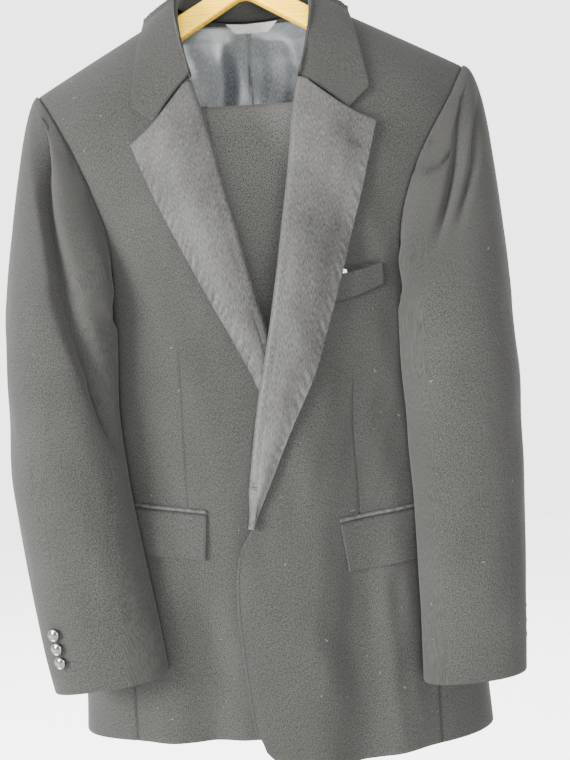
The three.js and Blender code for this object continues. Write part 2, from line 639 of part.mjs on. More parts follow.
// From centre back round to one gorge: the fold, the fall's outer edge and the neck seam
const COLLAR = [
  { along: 0, foldX: 0, foldY: 31, foldZ: -88, edgeX: 0, edgeZ: -150, seamX: 0, seamY: 33, seamZ: -126.6 },
  { along: 0.16, foldX: 34, foldY: 27, foldZ: -90, edgeX: 42, edgeZ: -148, seamX: 34, seamY: 29, seamZ: -125.6 },
  { along: 0.3, foldX: 60, foldY: 15, foldZ: -97, edgeX: 82, edgeZ: -144, seamX: 62, seamY: 17, seamZ: -122.9 },
  { along: 0.42, foldX: 71, foldY: 0, foldZ: -107, edgeX: 105, edgeZ: -137, seamX: 72, seamY: 2, seamZ: -121.4 },
  { along: 0.56, foldX: 70.5, foldY: -27, foldZ: -121, edgeX: 113, edgeZ: -168, seamX: 71.5, seamY: -23, seamZ: -132 },
  { along: 0.72, foldX: 68, foldY: -50, foldZ: -157, edgeX: 118.5, edgeZ: -204, seamX: 69, seamY: -46, seamZ: -165 },
  { along: 0.86, foldX: 62, foldY: -62.5, foldZ: -194, edgeX: 123.5, edgeZ: -241.5, seamX: 64, seamY: -57, seamZ: -199 },
  { along: 0.88, foldX: 61, foldY: -64, foldZ: -199, edgeX: 123.5, edgeZ: -246.5, seamX: 63, seamY: -58.5, seamZ: -203 },
  { along: 0.9, foldX: 60.2, foldY: -64.8, foldZ: -202, edgeX: 120, edgeZ: -249.6, seamX: 62.3, seamY: -59, seamZ: -206 },
  { along: 1, foldX: 56, foldY: -67.5, foldZ: -217.5, edgeX: 100, edgeZ: -265, seamX: 58.6, seamY: -61, seamZ: -220 },
];
// On the wearer's right the neck is wider
const RIGHT_NECK = { from: 0.35, to: 0.7, outwards: 4.5 };
// On the wearer's left the gorge lies lower at the roll line
const LEFT_GORGE = { from: 0.66, inwards: 4, down: 6.4, cornerUp: 5.5 };
const FOLD_RADIUS = 2.8;
const FALL_LIFT = 4.8; // from the shoulder's surface to the fall's outer surface

function collar() {
  const at = {};
  for (const key of ["foldX", "foldY", "foldZ", "edgeX", "edgeZ", "seamX", "seamY", "seamZ"])
    at[key] = through(COLLAR, "along", key);
  // Rows across the strip: 0 neck seam, 1 inside of the fold, 2 its top, 3 its outside, 4 the edge
  const section = (side, t) => {
    const low = side > 0 ? ease(LEFT_GORGE.from, 1, t) : 0;
    const lower = new V3(-LEFT_GORGE.inwards, 0, -LEFT_GORGE.down).multiplyScalar(low);
    if (side < 0) lower.x = RIGHT_NECK.outwards * ease(RIGHT_NECK.from, RIGHT_NECK.to, t);
    const fold = new V3(at.foldX(t), at.foldY(t), at.foldZ(t)).add(lower);
    const seam = new V3(at.seamX(t), at.seamY(t), at.seamZ(t)).add(lower);
    const face = t < 0.42 ? 1 : -1;
    const mirror = side < 0 ? -1 : 1;
    const edgeX = mirror * at.edgeX(t);
    const raised = side > 0 ? LEFT_GORGE.cornerUp * bell(t, 0.88, 0.12) : 0;
    const z = Math.min(at.edgeZ(t) + raised, shoulderZ(edgeX));
    const edge = trunkPoint(edgeX, z, face).addScaledVector(trunkNormal(edgeX, z, face), FALL_LIFT);
    edge.x *= mirror;
    const away = edge.clone().sub(fold).setZ(0).normalize();
    const beside = (share, drop) => fold.clone().addScaledVector(away, FOLD_RADIUS * share).setZ(fold.z - drop);
    return [seam, beside(-0.7, 2.4), beside(0.2, -0.6), beside(1.3, 1.8), edge];
  };
  const point = (u, v) => {
    const rows = section(Math.sign(u), Math.abs(u));
    const i = clamp(Math.floor(v), 0, 3);
    const p = rows[i].clone().lerp(rows[i + 1], v - i);
    // The fall bows out a little between the fold and its edge, and clears the shoulder
    if (i === 3) p.addScaledVector(rows[4].clone().sub(rows[0]).setZ(0).normalize(), 2 * Math.sin(Math.PI * (v - 3)));
    p.setX(u < 0 ? -p.x : p.x);
    if (i >= 2) {
      const face = p.y > RIDGE_Y ? 1 : -1;
      const z = Math.min(p.z, shoulderZ(p.x));
      const normal = trunkNormal(p.x, z, face);
      const short = FALL_LIFT - p.clone().sub(trunkPoint(p.x, z, face)).dot(normal);
      p.addScaledVector(normal, Math.max(0, short) * ease(2, 3, v));
    }
    return p;
  };
  const within = (u, v) => point(clamp(u, -1, 1), clamp(v, 0, 4));
  const alongs = [0.1, 0.2, 0.3, 0.38, 0.45, 0.53, 0.63, 0.73, 0.82, 0.875, 0.9, 0.95, 1];
  const us = [...alongs.map((t) => -t).reverse(), 0, ...alongs];
  add("collar", clothWall(us, [0, 0.5, 1, 2, 3, 3.33, 3.67, 4], point, sheetNormal(within, 1, 0.004), 2.2), WOOL_FINISH);
}

// Pockets

const FLAP = { long: 118, jet: 4.4 };

function hipPocket(side, half) {
  const { x: innerX, z: innerZ, rise, tall, lean } = half.pocket;
  const place = (u, down) => {
    const x = innerX + u * FLAP.long;
    return [half.side * (x + lean * down), innerZ + rise * (x - innerX) - down];
  };
  const build = (name, from, to, lift, thickness, finish) => {
    const point = (u, v) => onFront(half, ...place(u, THREE.MathUtils.lerp(from, to, v)), lift);
    const normal = (u, v) => trunkNormal(...place(u, THREE.MathUtils.lerp(from, to, v)), -1);
    add(name, clothWall(spaced(8), spaced(to - from > 10 ? 4 : 1), point, normal, thickness), finish);
  };
  build(`pocket_flap_${side}`, SEAM, tall, WOOL + LAY + 0.6, WOOL, WOOL_FINISH);
  build(`pocket_jet_${side}`, -FLAP.jet, 0, SATIN + LAY, SATIN, SATIN_FINISH);
}

// The breast pocket's welt, half under the lapel
function breastWelt() {
  const half = HALVES.left;
  const place = (u, v) => {
    const x = THREE.MathUtils.lerp(60, 126, u);
    const top = -425 - 0.2 * (126 - x) - 2.5 * Math.sin(Math.PI * u);
    return [x, top - v * THREE.MathUtils.lerp(30, 23, u)];
  };
  const point = (u, v) => onFront(half, ...place(u, v), WOOL + LAY);
  const normal = (u, v) => trunkNormal(...place(u, v), -1);
  add("breast_pocket_welt", clothWall(spaced(7), spaced(2), point, normal, WOOL), WOOL_FINISH);
}

// Buttons

// A domed button on its shank, standing on the plane z = 0
function buttonGeometry(radius, height) {
  const profile = [
    [0, 0], [radius * 0.32, 0], [radius * 0.32, height * 0.3], [radius * 0.88, height * 0.34],
    [radius, height * 0.52], [radius * 0.9, height * 0.8], [radius * 0.55, height * 0.96], [0, height],
  ];
  const lathe = new THREE.LatheGeometry(profile.map(([r, z]) => new THREE.Vector2(r, z)), 12);
  return lathe.rotateX(Math.PI / 2);
}

function placeButton(name, geometry, finish, point, normal, clear) {
  const mesh = add(name, geometry, finish);
  mesh.position.copy(point).addScaledVector(normal, clear);
  mesh.quaternion.setFromUnitVectors(new V3(0, 0, 1), normal);
}

function cuffButtons(side, half, point) {
  const headZ = half.sleeve[0].at;
  const cuffZ = half.sleeve[half.sleeve.length - 1].at;
  half.buttons.z.forEach((z, i) => {
    const v = 1 + (z - headZ) / (cuffZ - headZ);
    const normal = sheetNormal(point, half.side)(half.buttons.angle, v);
    placeButton(`cuff_button_${side}_${i + 1}`, buttonGeometry(6.3, 5), BUTTON_FINISH, point(half.buttons.angle, v), normal, half.buttons.clear);
  });
}

// Lining behind the neck, and the bare label sewn over its top edge

const LINING = { halfWidth: 100, top: -131, bottom: -330, atNeck: 3.5, inside: 7.5 };

function liningPoint(u, v) {
  const z = THREE.MathUtils.lerp(LINING.bottom, LINING.top, v);
  const x = THREE.MathUtils.lerp(-1, 1, u) * Math.min(LINING.halfWidth, shoulderX(z) - 22);
  const p = trunkPoint(x, z, 1);
  const drape = 1 - ease(0.8, 1, v);
  const fold = 3 * Math.cos((x + 8) / 11) * drape * bell(x, -38, 34) + 2.2 * Math.cos(x / 16) * drape;
  p.addScaledVector(trunkNormal(x, z, 1), -THREE.MathUtils.lerp(LINING.atNeck, LINING.inside, drape));
  p.y -= fold * 0.6;
  return p;
}

function lining() {
  const within = (u, v) => liningPoint(clamp(u, 0, 1), clamp(v, 0, 1));
  add("back_lining", clothWall(spaced(18), [0, 0.2, 0.4, 0.6, 0.76, 0.88, 0.95, 1], liningPoint, sheetNormal(within, 1), 1), LINING_FINISH);
}

function neckLabel() {
  const label = { centreX: 5, top: -130, tall: 10, topWidth: 59, bottomWidth: 38 };
  const point = (u, v) => {
    const wide = THREE.MathUtils.lerp(label.bottomWidth, label.topWidth, v);
    const p = trunkPoint(label.centreX + (u - 0.5) * wide, label.top - label.tall * (1 - v), 1);
    p.y -= LINING.atNeck + 1.1;
    return p;
  };
  const forward = () => new V3(0, 1, 0);
  add("neck_label", clothWall(spaced(4), [0, 1], point, forward, 0.9), LABEL_FINISH);
}

// Trousers, folded over the bar: one leg on the other, with the waist behind

const BAR = { radius: 4.5, z: -246.5, seat: 204, deep: 10 };
const TROUSERS = {
  frontHem: -752, backEnd: -782, leg: 4, between: 0.5,
  front: { from: -165, to: 60 }, top: { from: -170, to: 68 }, back: { from: -172, to: 105 },
};

// A strip over the bar, between two distances from the bar's axis
function overBar(near, far, xRange, frontEnd, backEnd, edge) {
  const stations = [
    ...spaced(9, frontEnd, BAR.z).map((z) => ({ angle: 180, z })),
    ...[150, 120, 90, 60, 30].map((angle) => ({ angle, z: BAR.z })),
    ...spaced(9, BAR.z, backEnd).map((z) => ({ angle: 0, z })),
  ];
  const rings = stations.map(({ angle, z }, i) => {
    const [from, to] = xRange(i / (stations.length - 1), z);
    const at = (x, r) =>
      new V3(x, r * Math.cos(radians(angle)), z + r * Math.sin(radians(angle)));
    const middle = (near + far) / 2;
    const inset = spaced(4, from + edge, to - edge);
    return [
      at(from, middle),
      ...inset.map((x) => at(x, far)),
      at(to, middle),
      ...inset.reverse().map((x) => at(x, near)),
    ];
  });
  return skinned(rings);
}

function trouserRange(shift) {
  return (share) => {
    const { front, top, back } = TROUSERS;
    const mix = (key) =>
      share < 0.5
        ? THREE.MathUtils.lerp(front[key], top[key], share * 2)
        : THREE.MathUtils.lerp(top[key], back[key], share * 2 - 1);
    return [mix("from") + shift, mix("to") + shift];
  };
}

function trousers() {
  const { leg, between, frontHem, backEnd } = TROUSERS;
  const nearInner = BAR.radius + between;
  const nearOuter = nearInner + leg + between;
  const slit = (y, from, to, z, tall) => {
    const box = new THREE.BoxGeometry(to - from, 0.8, tall);
    return box.translate((from + to) / 2, y, z);
  };
  const legOf = (name, near, shift, hem, end) => {
    const strip = overBar(near, near + leg, trouserRange(shift), hem, end, 2);
    const front = TROUSERS.front;
    const hemSlit = slit(-(near + leg / 2), front.from + shift + 5, front.to + shift - 5, hem + 10, 24);
    add(name, cutFrom(strip, hemSlit), WOOL_FINISH);
  };
  legOf("trouser_leg_right", nearInner, 4, frontHem + 8, backEnd);
  legOf("trouser_leg_left", nearOuter, 0, frontHem, backEnd);
  const stripeX = { from: -69, to: -49 };
  const onLeg = nearOuter + leg + 0.4;
  add("trouser_stripe", overBar(onLeg, onLeg + 0.9, () => [stripeX.from, stripeX.to], frontHem + 1, backEnd + 1, 1), SATIN_FINISH);
  const band = { tall: 38, from: TROUSERS.back.from - 3, to: TROUSERS.back.to + 6, round: 3 };
  const bandTop = backEnd - SEAM;
  const bandRing = (z, inset) => {
    const near = nearInner + inset;
    const far = nearOuter + leg - inset;
    return [
      new V3(band.from + band.round, near, z), new V3(band.to - band.round, near, z),
      new V3(band.to - inset, near + band.round, z), new V3(band.to - inset, far - band.round, z),
      new V3(band.to - band.round, far, z), new V3(band.from + band.round, far, z),
      new V3(band.from + inset, far - band.round, z), new V3(band.from + inset, near + band.round, z),
    ];
  };
  const heights = [bandTop, bandTop - 1, bandTop - band.tall + 1, bandTop - band.tall];
  const waistband = skinned(heights.map((z, i) => bandRing(z, i % 3 ? 0 : 0.8)));
  const bandSlit = slit((nearInner + nearOuter + leg) / 2, band.from + 8, band.to - 8, bandTop - band.tall + 8, 20);
  add("trouser_waistband", cutFrom(waistband, bandSlit), WOOL_FINISH);
}

// Hanger

const HANGER = { thick: 13, tipX: 222, topZ: -74, underArm: 0.594, underZ: -112.5, clear: 3.9, footZ: -263 };

function hangerArms() {
  const topAt = (x) => shoulderZ(-x) - HANGER.clear;
  const underAt = (x) => HANGER.underZ - HANGER.underArm * x;
  const shape = new THREE.Shape();
  const neck = { halfWidth: 11, shoulderX: 34, seatX: 84 };
  shape.moveTo(-neck.halfWidth, HANGER.topZ);
  shape.lineTo(neck.halfWidth, HANGER.topZ);
  const armSide = (side, forward) => {
    const stretch = [
      [neck.shoulderX * side, topAt(neck.shoulderX) - 4],
      [neck.seatX * side, topAt(neck.seatX) - 4],
      [(neck.seatX + 16) * side, topAt(neck.seatX + 16)],
      [178 * side, topAt(178)],
      [(HANGER.tipX - 10) * side, topAt(HANGER.tipX - 10) - 2.5],
      [HANGER.tipX * side, topAt(HANGER.tipX) - 11],
      [HANGER.tipX * side, HANGER.footZ + 10],
      [(HANGER.tipX - 9) * side, HANGER.footZ],
      [(BAR.seat - 4) * side, HANGER.footZ],
      [(BAR.seat - 12) * side, HANGER.footZ + 12],
      [(BAR.seat - 26) * side, underAt(BAR.seat - 26)],
      [6 * side, underAt(6)],
    ];
    return forward ? stretch : stretch.reverse();
  };
  for (const [x, z] of armSide(1, true)) shape.lineTo(x, z);
  shape.quadraticCurveTo(0, HANGER.underZ, -6, underAt(6));
  for (const [x, z] of armSide(-1, false).slice(1)) shape.lineTo(x, z);
  const bevel = 1.6;
  const body = new THREE.ExtrudeGeometry(shape, {
    depth: HANGER.thick - 2 * bevel, bevelEnabled: true, bevelSize: bevel, bevelOffset: -bevel,
    bevelThickness: bevel, bevelSegments: 1, curveSegments: 6,
  });
  body.rotateX(Math.PI / 2).translate(0, HANGER.thick / 2 - bevel, 0);
  const socket = (side) =>
    new THREE.CylinderGeometry(BAR.radius + 0.3, BAR.radius + 0.3, 40, 16)
      .rotateZ(Math.PI / 2)
      .translate(side * (BAR.seat + BAR.deep - 20 + 0.3), 0, BAR.z);
  const screwHole = new THREE.CylinderGeometry(2.4, 2.4, 30, 12).rotateX(Math.PI / 2).translate(0, 0, HANGER.topZ + 2);
  add("hanger_arms", cutFrom(body, socket(1), socket(-1), screwHole), WOOD_FINISH);
}

function hangerBar() {
  const bar = new THREE.CylinderGeometry(BAR.radius, BAR.radius, 2 * (BAR.seat + BAR.deep), 16);
  add("hanger_bar", bar.rotateZ(Math.PI / 2).translate(0, 0, BAR.z), WOOD_FINISH);
}

// The hook's wire: the inside of its bend is at the origin
function hangerHook() {
  const wire = 2;
  const bend = { radius: 24 + wire, centreZ: -24 };
  const arc = spaced(11, -62, 214).map((a) => [bend.radius * Math.cos(radians(a)), bend.centreZ + bend.radius * Math.sin(radians(a))]);
  const line = [[0, HANGER.topZ - 11], [0, -70], [1, -60], [5, -53], ...arc];
  const path = new THREE.CatmullRomCurve3(line.map(([x, z]) => new V3(x, 0, z)), false, "centripetal");
  const section = new THREE.Shape().absarc(0, 0, wire, 0, 2 * Math.PI);
  const tube = new THREE.ExtrudeGeometry(section, { steps: 44, curveSegments: 4, extrudePath: path });
  add("hanger_hook", tube, STEEL_FINISH);
}

// The whole suit

for (const [side, half] of Object.entries(HALVES)) {
  frontPanel(`front_${side}`, half);
  sideBody(`side_body_${side}`, half);
  backPanel(`back_${side}`, half);
  lapel(`lapel_${side}`, half);
  hipPocket(side, half);
  const point = sleeve(half, SLEEVE_FOLDS[side], { top: `top_sleeve_${side}`, under: `under_sleeve_${side}` });
  cuffButtons(side, half, point);
}
collar();
breastWelt();
lining();
neckLabel();
trousers();
hangerArms();
hangerBar();
hangerHook();

export default suit;
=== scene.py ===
# %% [markdown]
# # An evening suit on its wooden hanger
# The part is a black wool jacket with satin lapels, and its trousers folded over the hanger's bar.
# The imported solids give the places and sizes. Here each piece of cloth is woven again from the same
# rules on a finer grid, so that seams, darts, puckers and small folds can show.

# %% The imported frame
import math

import bmesh
import bpy
import numpy as np
from mathutils import Matrix


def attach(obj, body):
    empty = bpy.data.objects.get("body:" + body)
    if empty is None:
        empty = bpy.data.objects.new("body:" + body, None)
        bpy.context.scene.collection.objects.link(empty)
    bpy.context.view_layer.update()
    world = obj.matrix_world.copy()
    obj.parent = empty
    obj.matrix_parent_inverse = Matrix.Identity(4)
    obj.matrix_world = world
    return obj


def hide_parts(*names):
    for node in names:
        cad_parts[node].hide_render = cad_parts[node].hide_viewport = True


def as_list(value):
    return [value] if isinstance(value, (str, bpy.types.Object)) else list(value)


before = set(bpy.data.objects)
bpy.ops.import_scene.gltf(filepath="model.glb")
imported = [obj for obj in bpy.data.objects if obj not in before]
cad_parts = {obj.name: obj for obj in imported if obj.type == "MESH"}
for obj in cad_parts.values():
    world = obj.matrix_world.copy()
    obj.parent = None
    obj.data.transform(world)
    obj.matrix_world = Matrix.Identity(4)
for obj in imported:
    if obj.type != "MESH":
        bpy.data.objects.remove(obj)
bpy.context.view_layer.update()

# %% [markdown]
# ## Camera, floor and light
# The photograph looks straight at the suit from about a metre away, level with its waist, and the
# suit hangs a few degrees off upright, so the camera is rolled instead of the part. A long-lens
# camera further back would flatten the sleeves, so the real distance is kept. Light is what a window
# at the side and a white room give: a soft source from the left, a weaker one in front and pale
# surroundings.

# %% Camera, floor and light
CAMERA = {"place": (0.0178, -1.0, -0.54), "focal_pixels": 900, "image_height": 760, "roll": 3.6}

camera = bpy.data.objects.new("camera", bpy.data.cameras.new("camera"))
bpy.context.scene.collection.objects.link(camera)
camera.data.sensor_width = 36
camera.data.lens = 36 * CAMERA["focal_pixels"] / CAMERA["image_height"]
camera.matrix_world = (
    Matrix.Translation(CAMERA["place"])
    @ Matrix.Rotation(math.radians(90), 4, "X")
    @ Matrix.Rotation(math.radians(-CAMERA["roll"]), 4, "Z")
)
bpy.context.scene.camera = camera


def soft_light(name, place, aim, width, height, watts):
    lamp = bpy.data.lights.new(name, "AREA")
    lamp.shape = "RECTANGLE"
    lamp.size = width
    lamp.size_y = height
    lamp.energy = watts
    lit = bpy.data.objects.new(name, lamp)
    bpy.context.scene.collection.objects.link(lit)
    lit.matrix_world = Matrix.Translation(place)
    toward = Matrix.Translation(aim).translation - lit.matrix_world.translation
    lit.rotation_euler = toward.to_track_quat("-Z", "Y").to_euler()


soft_light("window", (-2.2, -1.4, -0.1), (0, 0, -0.5), 1.0, 1.0, 540)
soft_light("front", (0.1, -2.2, -0.6), (0, 0, -0.5), 0.8, 0.8, 110)
soft_light("behind", (0.2, 1.8, 0.6), (0, 0, -0.4), 1.6, 1.0, 60)

world = bpy.data.worlds.new("pale room")
bpy.context.scene.world = world
world.use_nodes = True
world.node_tree.nodes["Background"].inputs["Color"].default_value = (1, 1, 1, 1)
world.node_tree.nodes["Background"].inputs["Strength"].default_value = 3.5

bpy.ops.mesh.primitive_circle_add(vertices=96, radius=4, fill_type="NGON", location=(0, 0, -1.35))
floor = bpy.context.object
floor.name = "floor"
pale = bpy.data.materials.new("pale floor")
pale.use_nodes = True
pale.node_tree.nodes["Principled BSDF"].inputs["Base Color"].default_value = (0.97, 0.97, 0.97, 1)
pale.node_tree.nodes["Principled BSDF"].inputs["Roughness"].default_value = 0.9
floor.data.materials.append(pale)
print("lens", round(camera.data.lens, 1), "mm")

# %% [markdown]
# ## Finishes: a small language for shader maths
# A cloth's finish is arithmetic on patterns: weave plus fuzz, plus painted shade in the seams and creases.
# Node graphs can be drawn by hand, but they read better as sums, so one class wraps a socket and its
# operators add the Math nodes.

# %% Shader maths
class Value:
    """A node's output that can be added, multiplied and compared."""

    def __init__(self, finish, socket):
        self.finish = finish
        self.socket = socket

    def maths(self, operation, *others):
        return self.finish.node("ShaderNodeMath", {"operation": operation}, dict(enumerate([self, *others])))

    def __add__(self, other):
        return self.maths("ADD", other)

    def __sub__(self, other):
        return self.maths("SUBTRACT", other)

    def __mul__(self, other):
        return self.maths("MULTIPLY", other)

    def __truediv__(self, other):
        return self.maths("DIVIDE", other)

    def __pow__(self, other):
        return self.maths("POWER", other)

    def __rsub__(self, other):
        return (self * -1) + other

    __radd__ = __add__
    __rmul__ = __mul__

    def below(self, limit):
        return self.maths("LESS_THAN", limit)

    def above(self, limit):
        return self.maths("GREATER_THAN", limit)

    def size(self):
        return self.maths("ABSOLUTE")


class Finish:
    """One material and the nodes behind it."""

    def __init__(self, name, **shader):
        self.material = bpy.data.materials.new(name)
        self.material.use_nodes = True
        self.tree = self.material.node_tree
        self.shader = self.tree.nodes["Principled BSDF"]
        for socket, value in shader.items():
            self.shader.inputs[socket.replace("_", " ")].default_value = value

    def node(self, kind, settings=None, sockets=None, out=0):
        made = self.tree.nodes.new(kind)
        for key, value in (settings or {}).items():
            if key == "stops":
                for stop, (place, colour) in zip(made.color_ramp.elements, value):
                    stop.position = place
                    stop.color = (*colour, 1)
            else:
                setattr(made, key, value)
        for key, value in (sockets or {}).items():
            if isinstance(value, Value):
                self.tree.links.new(value.socket, made.inputs[key])
            else:
                made.inputs[key].default_value = value
        return Value(self, made.outputs[out])

    def place(self, scale=(1, 1, 1), woven=False, turn=0.0):
        """Coordinates: the cloth's own, in metres along its threads, or the object's."""
        source = self.node("ShaderNodeTexCoord", out=2 if woven else 3)
        sockets = {"Vector": source, "Scale": scale, "Rotation": (0, 0, turn)}
        return self.node("ShaderNodeMapping", None, sockets)

    def noise(self, place, scale, detail=2.0, roughness=0.5):
        sockets = {"Vector": place, "Scale": scale, "Detail": detail, "Roughness": roughness}
        return self.node("ShaderNodeTexNoise", None, sockets)

    def mix(self, low, high, factor):
        sockets = {0: factor, 6: low, 7: high}
        return self.node("ShaderNodeMix", {"data_type": "RGBA"}, sockets, out=2)

    def seam(self):
        """Painted shade: 1 in a seam's ditch or along a crease, falling to 0 a few millimetres away."""
        return self.node("ShaderNodeAttribute", {"attribute_name": "seam"}, out=2)

    def feed(self, **sockets):
        for name, value in sockets.items():
            self.tree.links.new(value.socket, self.shader.inputs[name.replace("_", " ")])

    def bump(self, height, depth, strength=1.0):
        sockets = {"Height": height, "Distance": depth, "Strength": strength}
        return self.node("ShaderNodeBump", None, sockets)


def grey(value, tint=(1, 1, 1)):
    return (value * tint[0], value * tint[1], value * tint[2], 1)


# %% [markdown]
# ## Wool
# Fine suiting is a twill of thin yarns, matt, a little fuzzy, and near black. Under strong light it
# reads as a cool dark grey with a speckle where lighter fibres lie on top. A flat colour would look
# like plastic, so the speckle, the twill's slope and a slow cloudiness are each a pattern.

# %% Wool
def wool_finish(name, dark, light):
    wool = Finish(name, Roughness=0.95, Sheen_Weight=0.03, Sheen_Roughness=0.5, Specular_IOR_Level=0.06)
    threads = wool.place(woven=True)
    twill = wool.noise(wool.place(woven=True, scale=(1, 0.35, 1), turn=0.7), 1500.0, 1.0)
    speckle = wool.noise(threads, 950.0, 2.0, 0.75)
    slubs = wool.noise(wool.place(woven=True, scale=(1, 0.5, 1)), 620.0, 3.0, 0.7)
    clouds = wool.noise(wool.place(), 9.0, 3.0, 0.55)
    heather = (speckle - 0.5) * 2.8 + (slubs - 0.5) * 1.1 + (twill - 0.5) * 0.8 + (clouds - 0.5) * 0.3 + 0.46
    colour = wool.mix(dark, light, heather)
    # painted shade: the wool goes darker in seam ditches and creases, from the seam attribute
    shade = wool.mix(colour, grey(0.0015), wool.seam() * 0.5)
    wool.feed(Base_Color=shade, Normal=wool.bump(twill * 0.4 + speckle + slubs * 0.4, 0.00015, 0.5))
    return wool.material


WOOL = wool_finish("wool", (0.004, 0.004, 0.0037, 1), (0.0265, 0.0265, 0.0245, 1))
# the trousers are the same black wool; this copy is painted about three times lighter, painted light for the
# shaded V
TROUSER_WOOL_PAINTED_LIGHTER = wool_finish("trouser wool painted lighter", (0.012, 0.012, 0.011, 1), (0.075, 0.075, 0.070, 1))
print("wool finishes", WOOL.name, TROUSER_WOOL_PAINTED_LIGHTER.name)

# %% [markdown]
# ## Satin, lining, label
# The lapels, the pocket jets and the trousers' stripe are satin: long threads float over one side, so it
# shines broadly; its colour is painted a shade warmer and lighter than the wool's, a painted sheen for much
# of that shine. The lining is the same weave, thinner and blue-grey. Roughness carries the look, with a fine
# rib and slow streaks in it.

# %% Satin, lining, label
def satin_finish(name, dark, light, rough, rib, gloss):
    satin = Finish(name, Specular_IOR_Level=gloss, Sheen_Weight=0.02, Sheen_Roughness=0.4)
    threads = satin.place(woven=True)
    streaks = satin.noise(satin.place(woven=True, scale=(1, 0.12, 1)), 90.0, 3.0, 0.6)
    fine = satin.noise(satin.place(woven=True, scale=(1, 0.25, 1)), 900.0, 2.0, 0.7)
    clouds = satin.noise(satin.place(), 14.0, 2.0)
    colour = satin.mix(dark, light, (streaks - 0.5) * 0.25 + (fine - 0.5) * 1.8 + (clouds - 0.5) * 0.6 + 0.47)
    # painted shade: the satin goes darker in seam ditches and creases, from the seam attribute
    shade = satin.mix(colour, grey(0.008), satin.seam() * 0.5)
    wave = satin.node(
        "ShaderNodeTexWave",
        {"wave_type": "BANDS", "bands_direction": "X"},
        {"Vector": threads, "Scale": rib, "Distortion": 1.0},
        out=1,
    )
    satin.feed(
        Base_Color=shade,
        Roughness=streaks * 0.16 + fine * 0.1 + (rough - 0.13),
        Normal=satin.bump(wave * 0.4 + fine * 0.6, 0.00012, 0.6),
    )
    return satin.material


# the lapel and stripe satins' base colours are painted lighter than the wool's, as painted sheen
SATIN_PAINTED_SHEEN = satin_finish("satin", (0.007, 0.0069, 0.0067, 1), (0.042, 0.0415, 0.0402, 1), 0.5, 300.0, 0.08)
LINING = satin_finish("lining", (0.008, 0.0096, 0.0104, 1), (0.056, 0.063, 0.066, 1), 0.26, 380.0, 0.3)
STRIPE_PAINTED_SHEEN = satin_finish("stripe satin", (0.010, 0.0099, 0.0096, 1), (0.044, 0.0435, 0.0422, 1), 0.4, 300.0,
    0.12)


def label_finish():
    label = Finish("label", Roughness=0.75, Sheen_Weight=0.15)
    threads = label.place(woven=True)
    checks = label.node("ShaderNodeTexChecker", None, {"Vector": threads, "Scale": 1400.0}, out=1)
    fuzz = label.noise(threads, 700.0, 2.0)
    colour = label.mix(grey(0.10, (1, 0.96, 0.88)), grey(0.26, (1, 0.97, 0.9)), checks * 0.5 + fuzz * 0.5)
    # painted shade from the seam attribute; the label's mask is zero
    label.feed(Base_Color=label.mix(colour, grey(0.04), label.seam() * 0.6),
        Normal=label.bump(checks, 0.0001, 0.6))
    return label.material


LABEL = label_finish()
print("satins", SATIN_PAINTED_SHEEN.name, LINING.name, STRIPE_PAINTED_SHEEN.name, "and", LABEL.name)

# %% [markdown]
# ## Wood, steel, buttons, threads
# The hanger is turned from pale beech and varnished to a warm amber. The grain is stretched noise
# along each arm. The hook is polished wire, and the buttons are shiny and domed, which a clear coat
# over black gives.

# %% Wood, steel, buttons, threads
def wood_finish():
    wood = Finish("varnished wood", Roughness=0.42, Coat_Weight=0.1, Coat_Roughness=0.2,
        Specular_IOR_Level=0.25)
    grain = wood.noise(wood.place(scale=(6, 60, 60)), 3.0, 5.0, 0.6)
    pores = wood.noise(wood.place(scale=(12, 300, 300)), 6.0, 3.0, 0.7)
    rings = wood.node(
        "ShaderNodeTexWave",
        {"wave_type": "BANDS", "bands_direction": "Z"},
        {"Vector": wood.place(scale=(2, 1, 9)), "Scale": 9.0, "Distortion": 7.0, "Detail": 3.0},
        out=1,
    )
    colour = wood.mix((0.36, 0.17, 0.0, 1), (0.60, 0.40, 0.0, 1), grain * 0.75 + rings * 0.3)
    colour = wood.mix(colour, (0.22, 0.085, 0.004, 1), pores.above(0.66) * 0.35)
    wood.feed(Base_Color=colour, Normal=wood.bump(grain + pores * 0.4, 0.0003, 0.35))
    return wood.material


def plain_finish(name, colour, wear, **shader):
    """A finish that is nearly one colour, with slight mottling, also used as a faint bump."""
    plain = Finish(name, **shader)
    mottle = plain.noise(plain.place(), 160.0, 3.0)
    lighter = tuple(min(1.0, c * (1 + wear)) for c in colour[:3]) + (1,)
    plain.feed(Base_Color=plain.mix(colour, lighter, mottle), Normal=plain.bump(mottle, 0.0001, 0.3))
    return plain.material


WOOD = wood_finish()
STEEL = plain_finish("hook steel", (0.62, 0.63, 0.65, 1), 0.2, Metallic=1.0, Roughness=0.22)
BUTTON = plain_finish("button", (0.003, 0.003, 0.0033, 1), 0.8, Roughness=0.2, Coat_Weight=0.3,
    Coat_Roughness=0.08)
THREAD = plain_finish("thread", (0.005, 0.005, 0.0055, 1), 0.6, Roughness=0.8, Specular_IOR_Level=0.1)
LINT = plain_finish("lint", (0.10, 0.10, 0.098, 1), 0.3, Roughness=0.9, Sheen_Weight=0.2)
SCRAP = plain_finish("pocket lining", (0.62, 0.61, 0.58, 1), 0.2, Roughness=0.85, Sheen_Weight=0.3)
print("hard finishes", WOOD.name, STEEL.name, BUTTON.name)

# %% [markdown]
# ## Curves through tables
# A pattern cutter works from a few measured points and draws smooth lines through them. The same is
# done here: each table gives a size at a few heights, and a smooth curve fills in the rest.

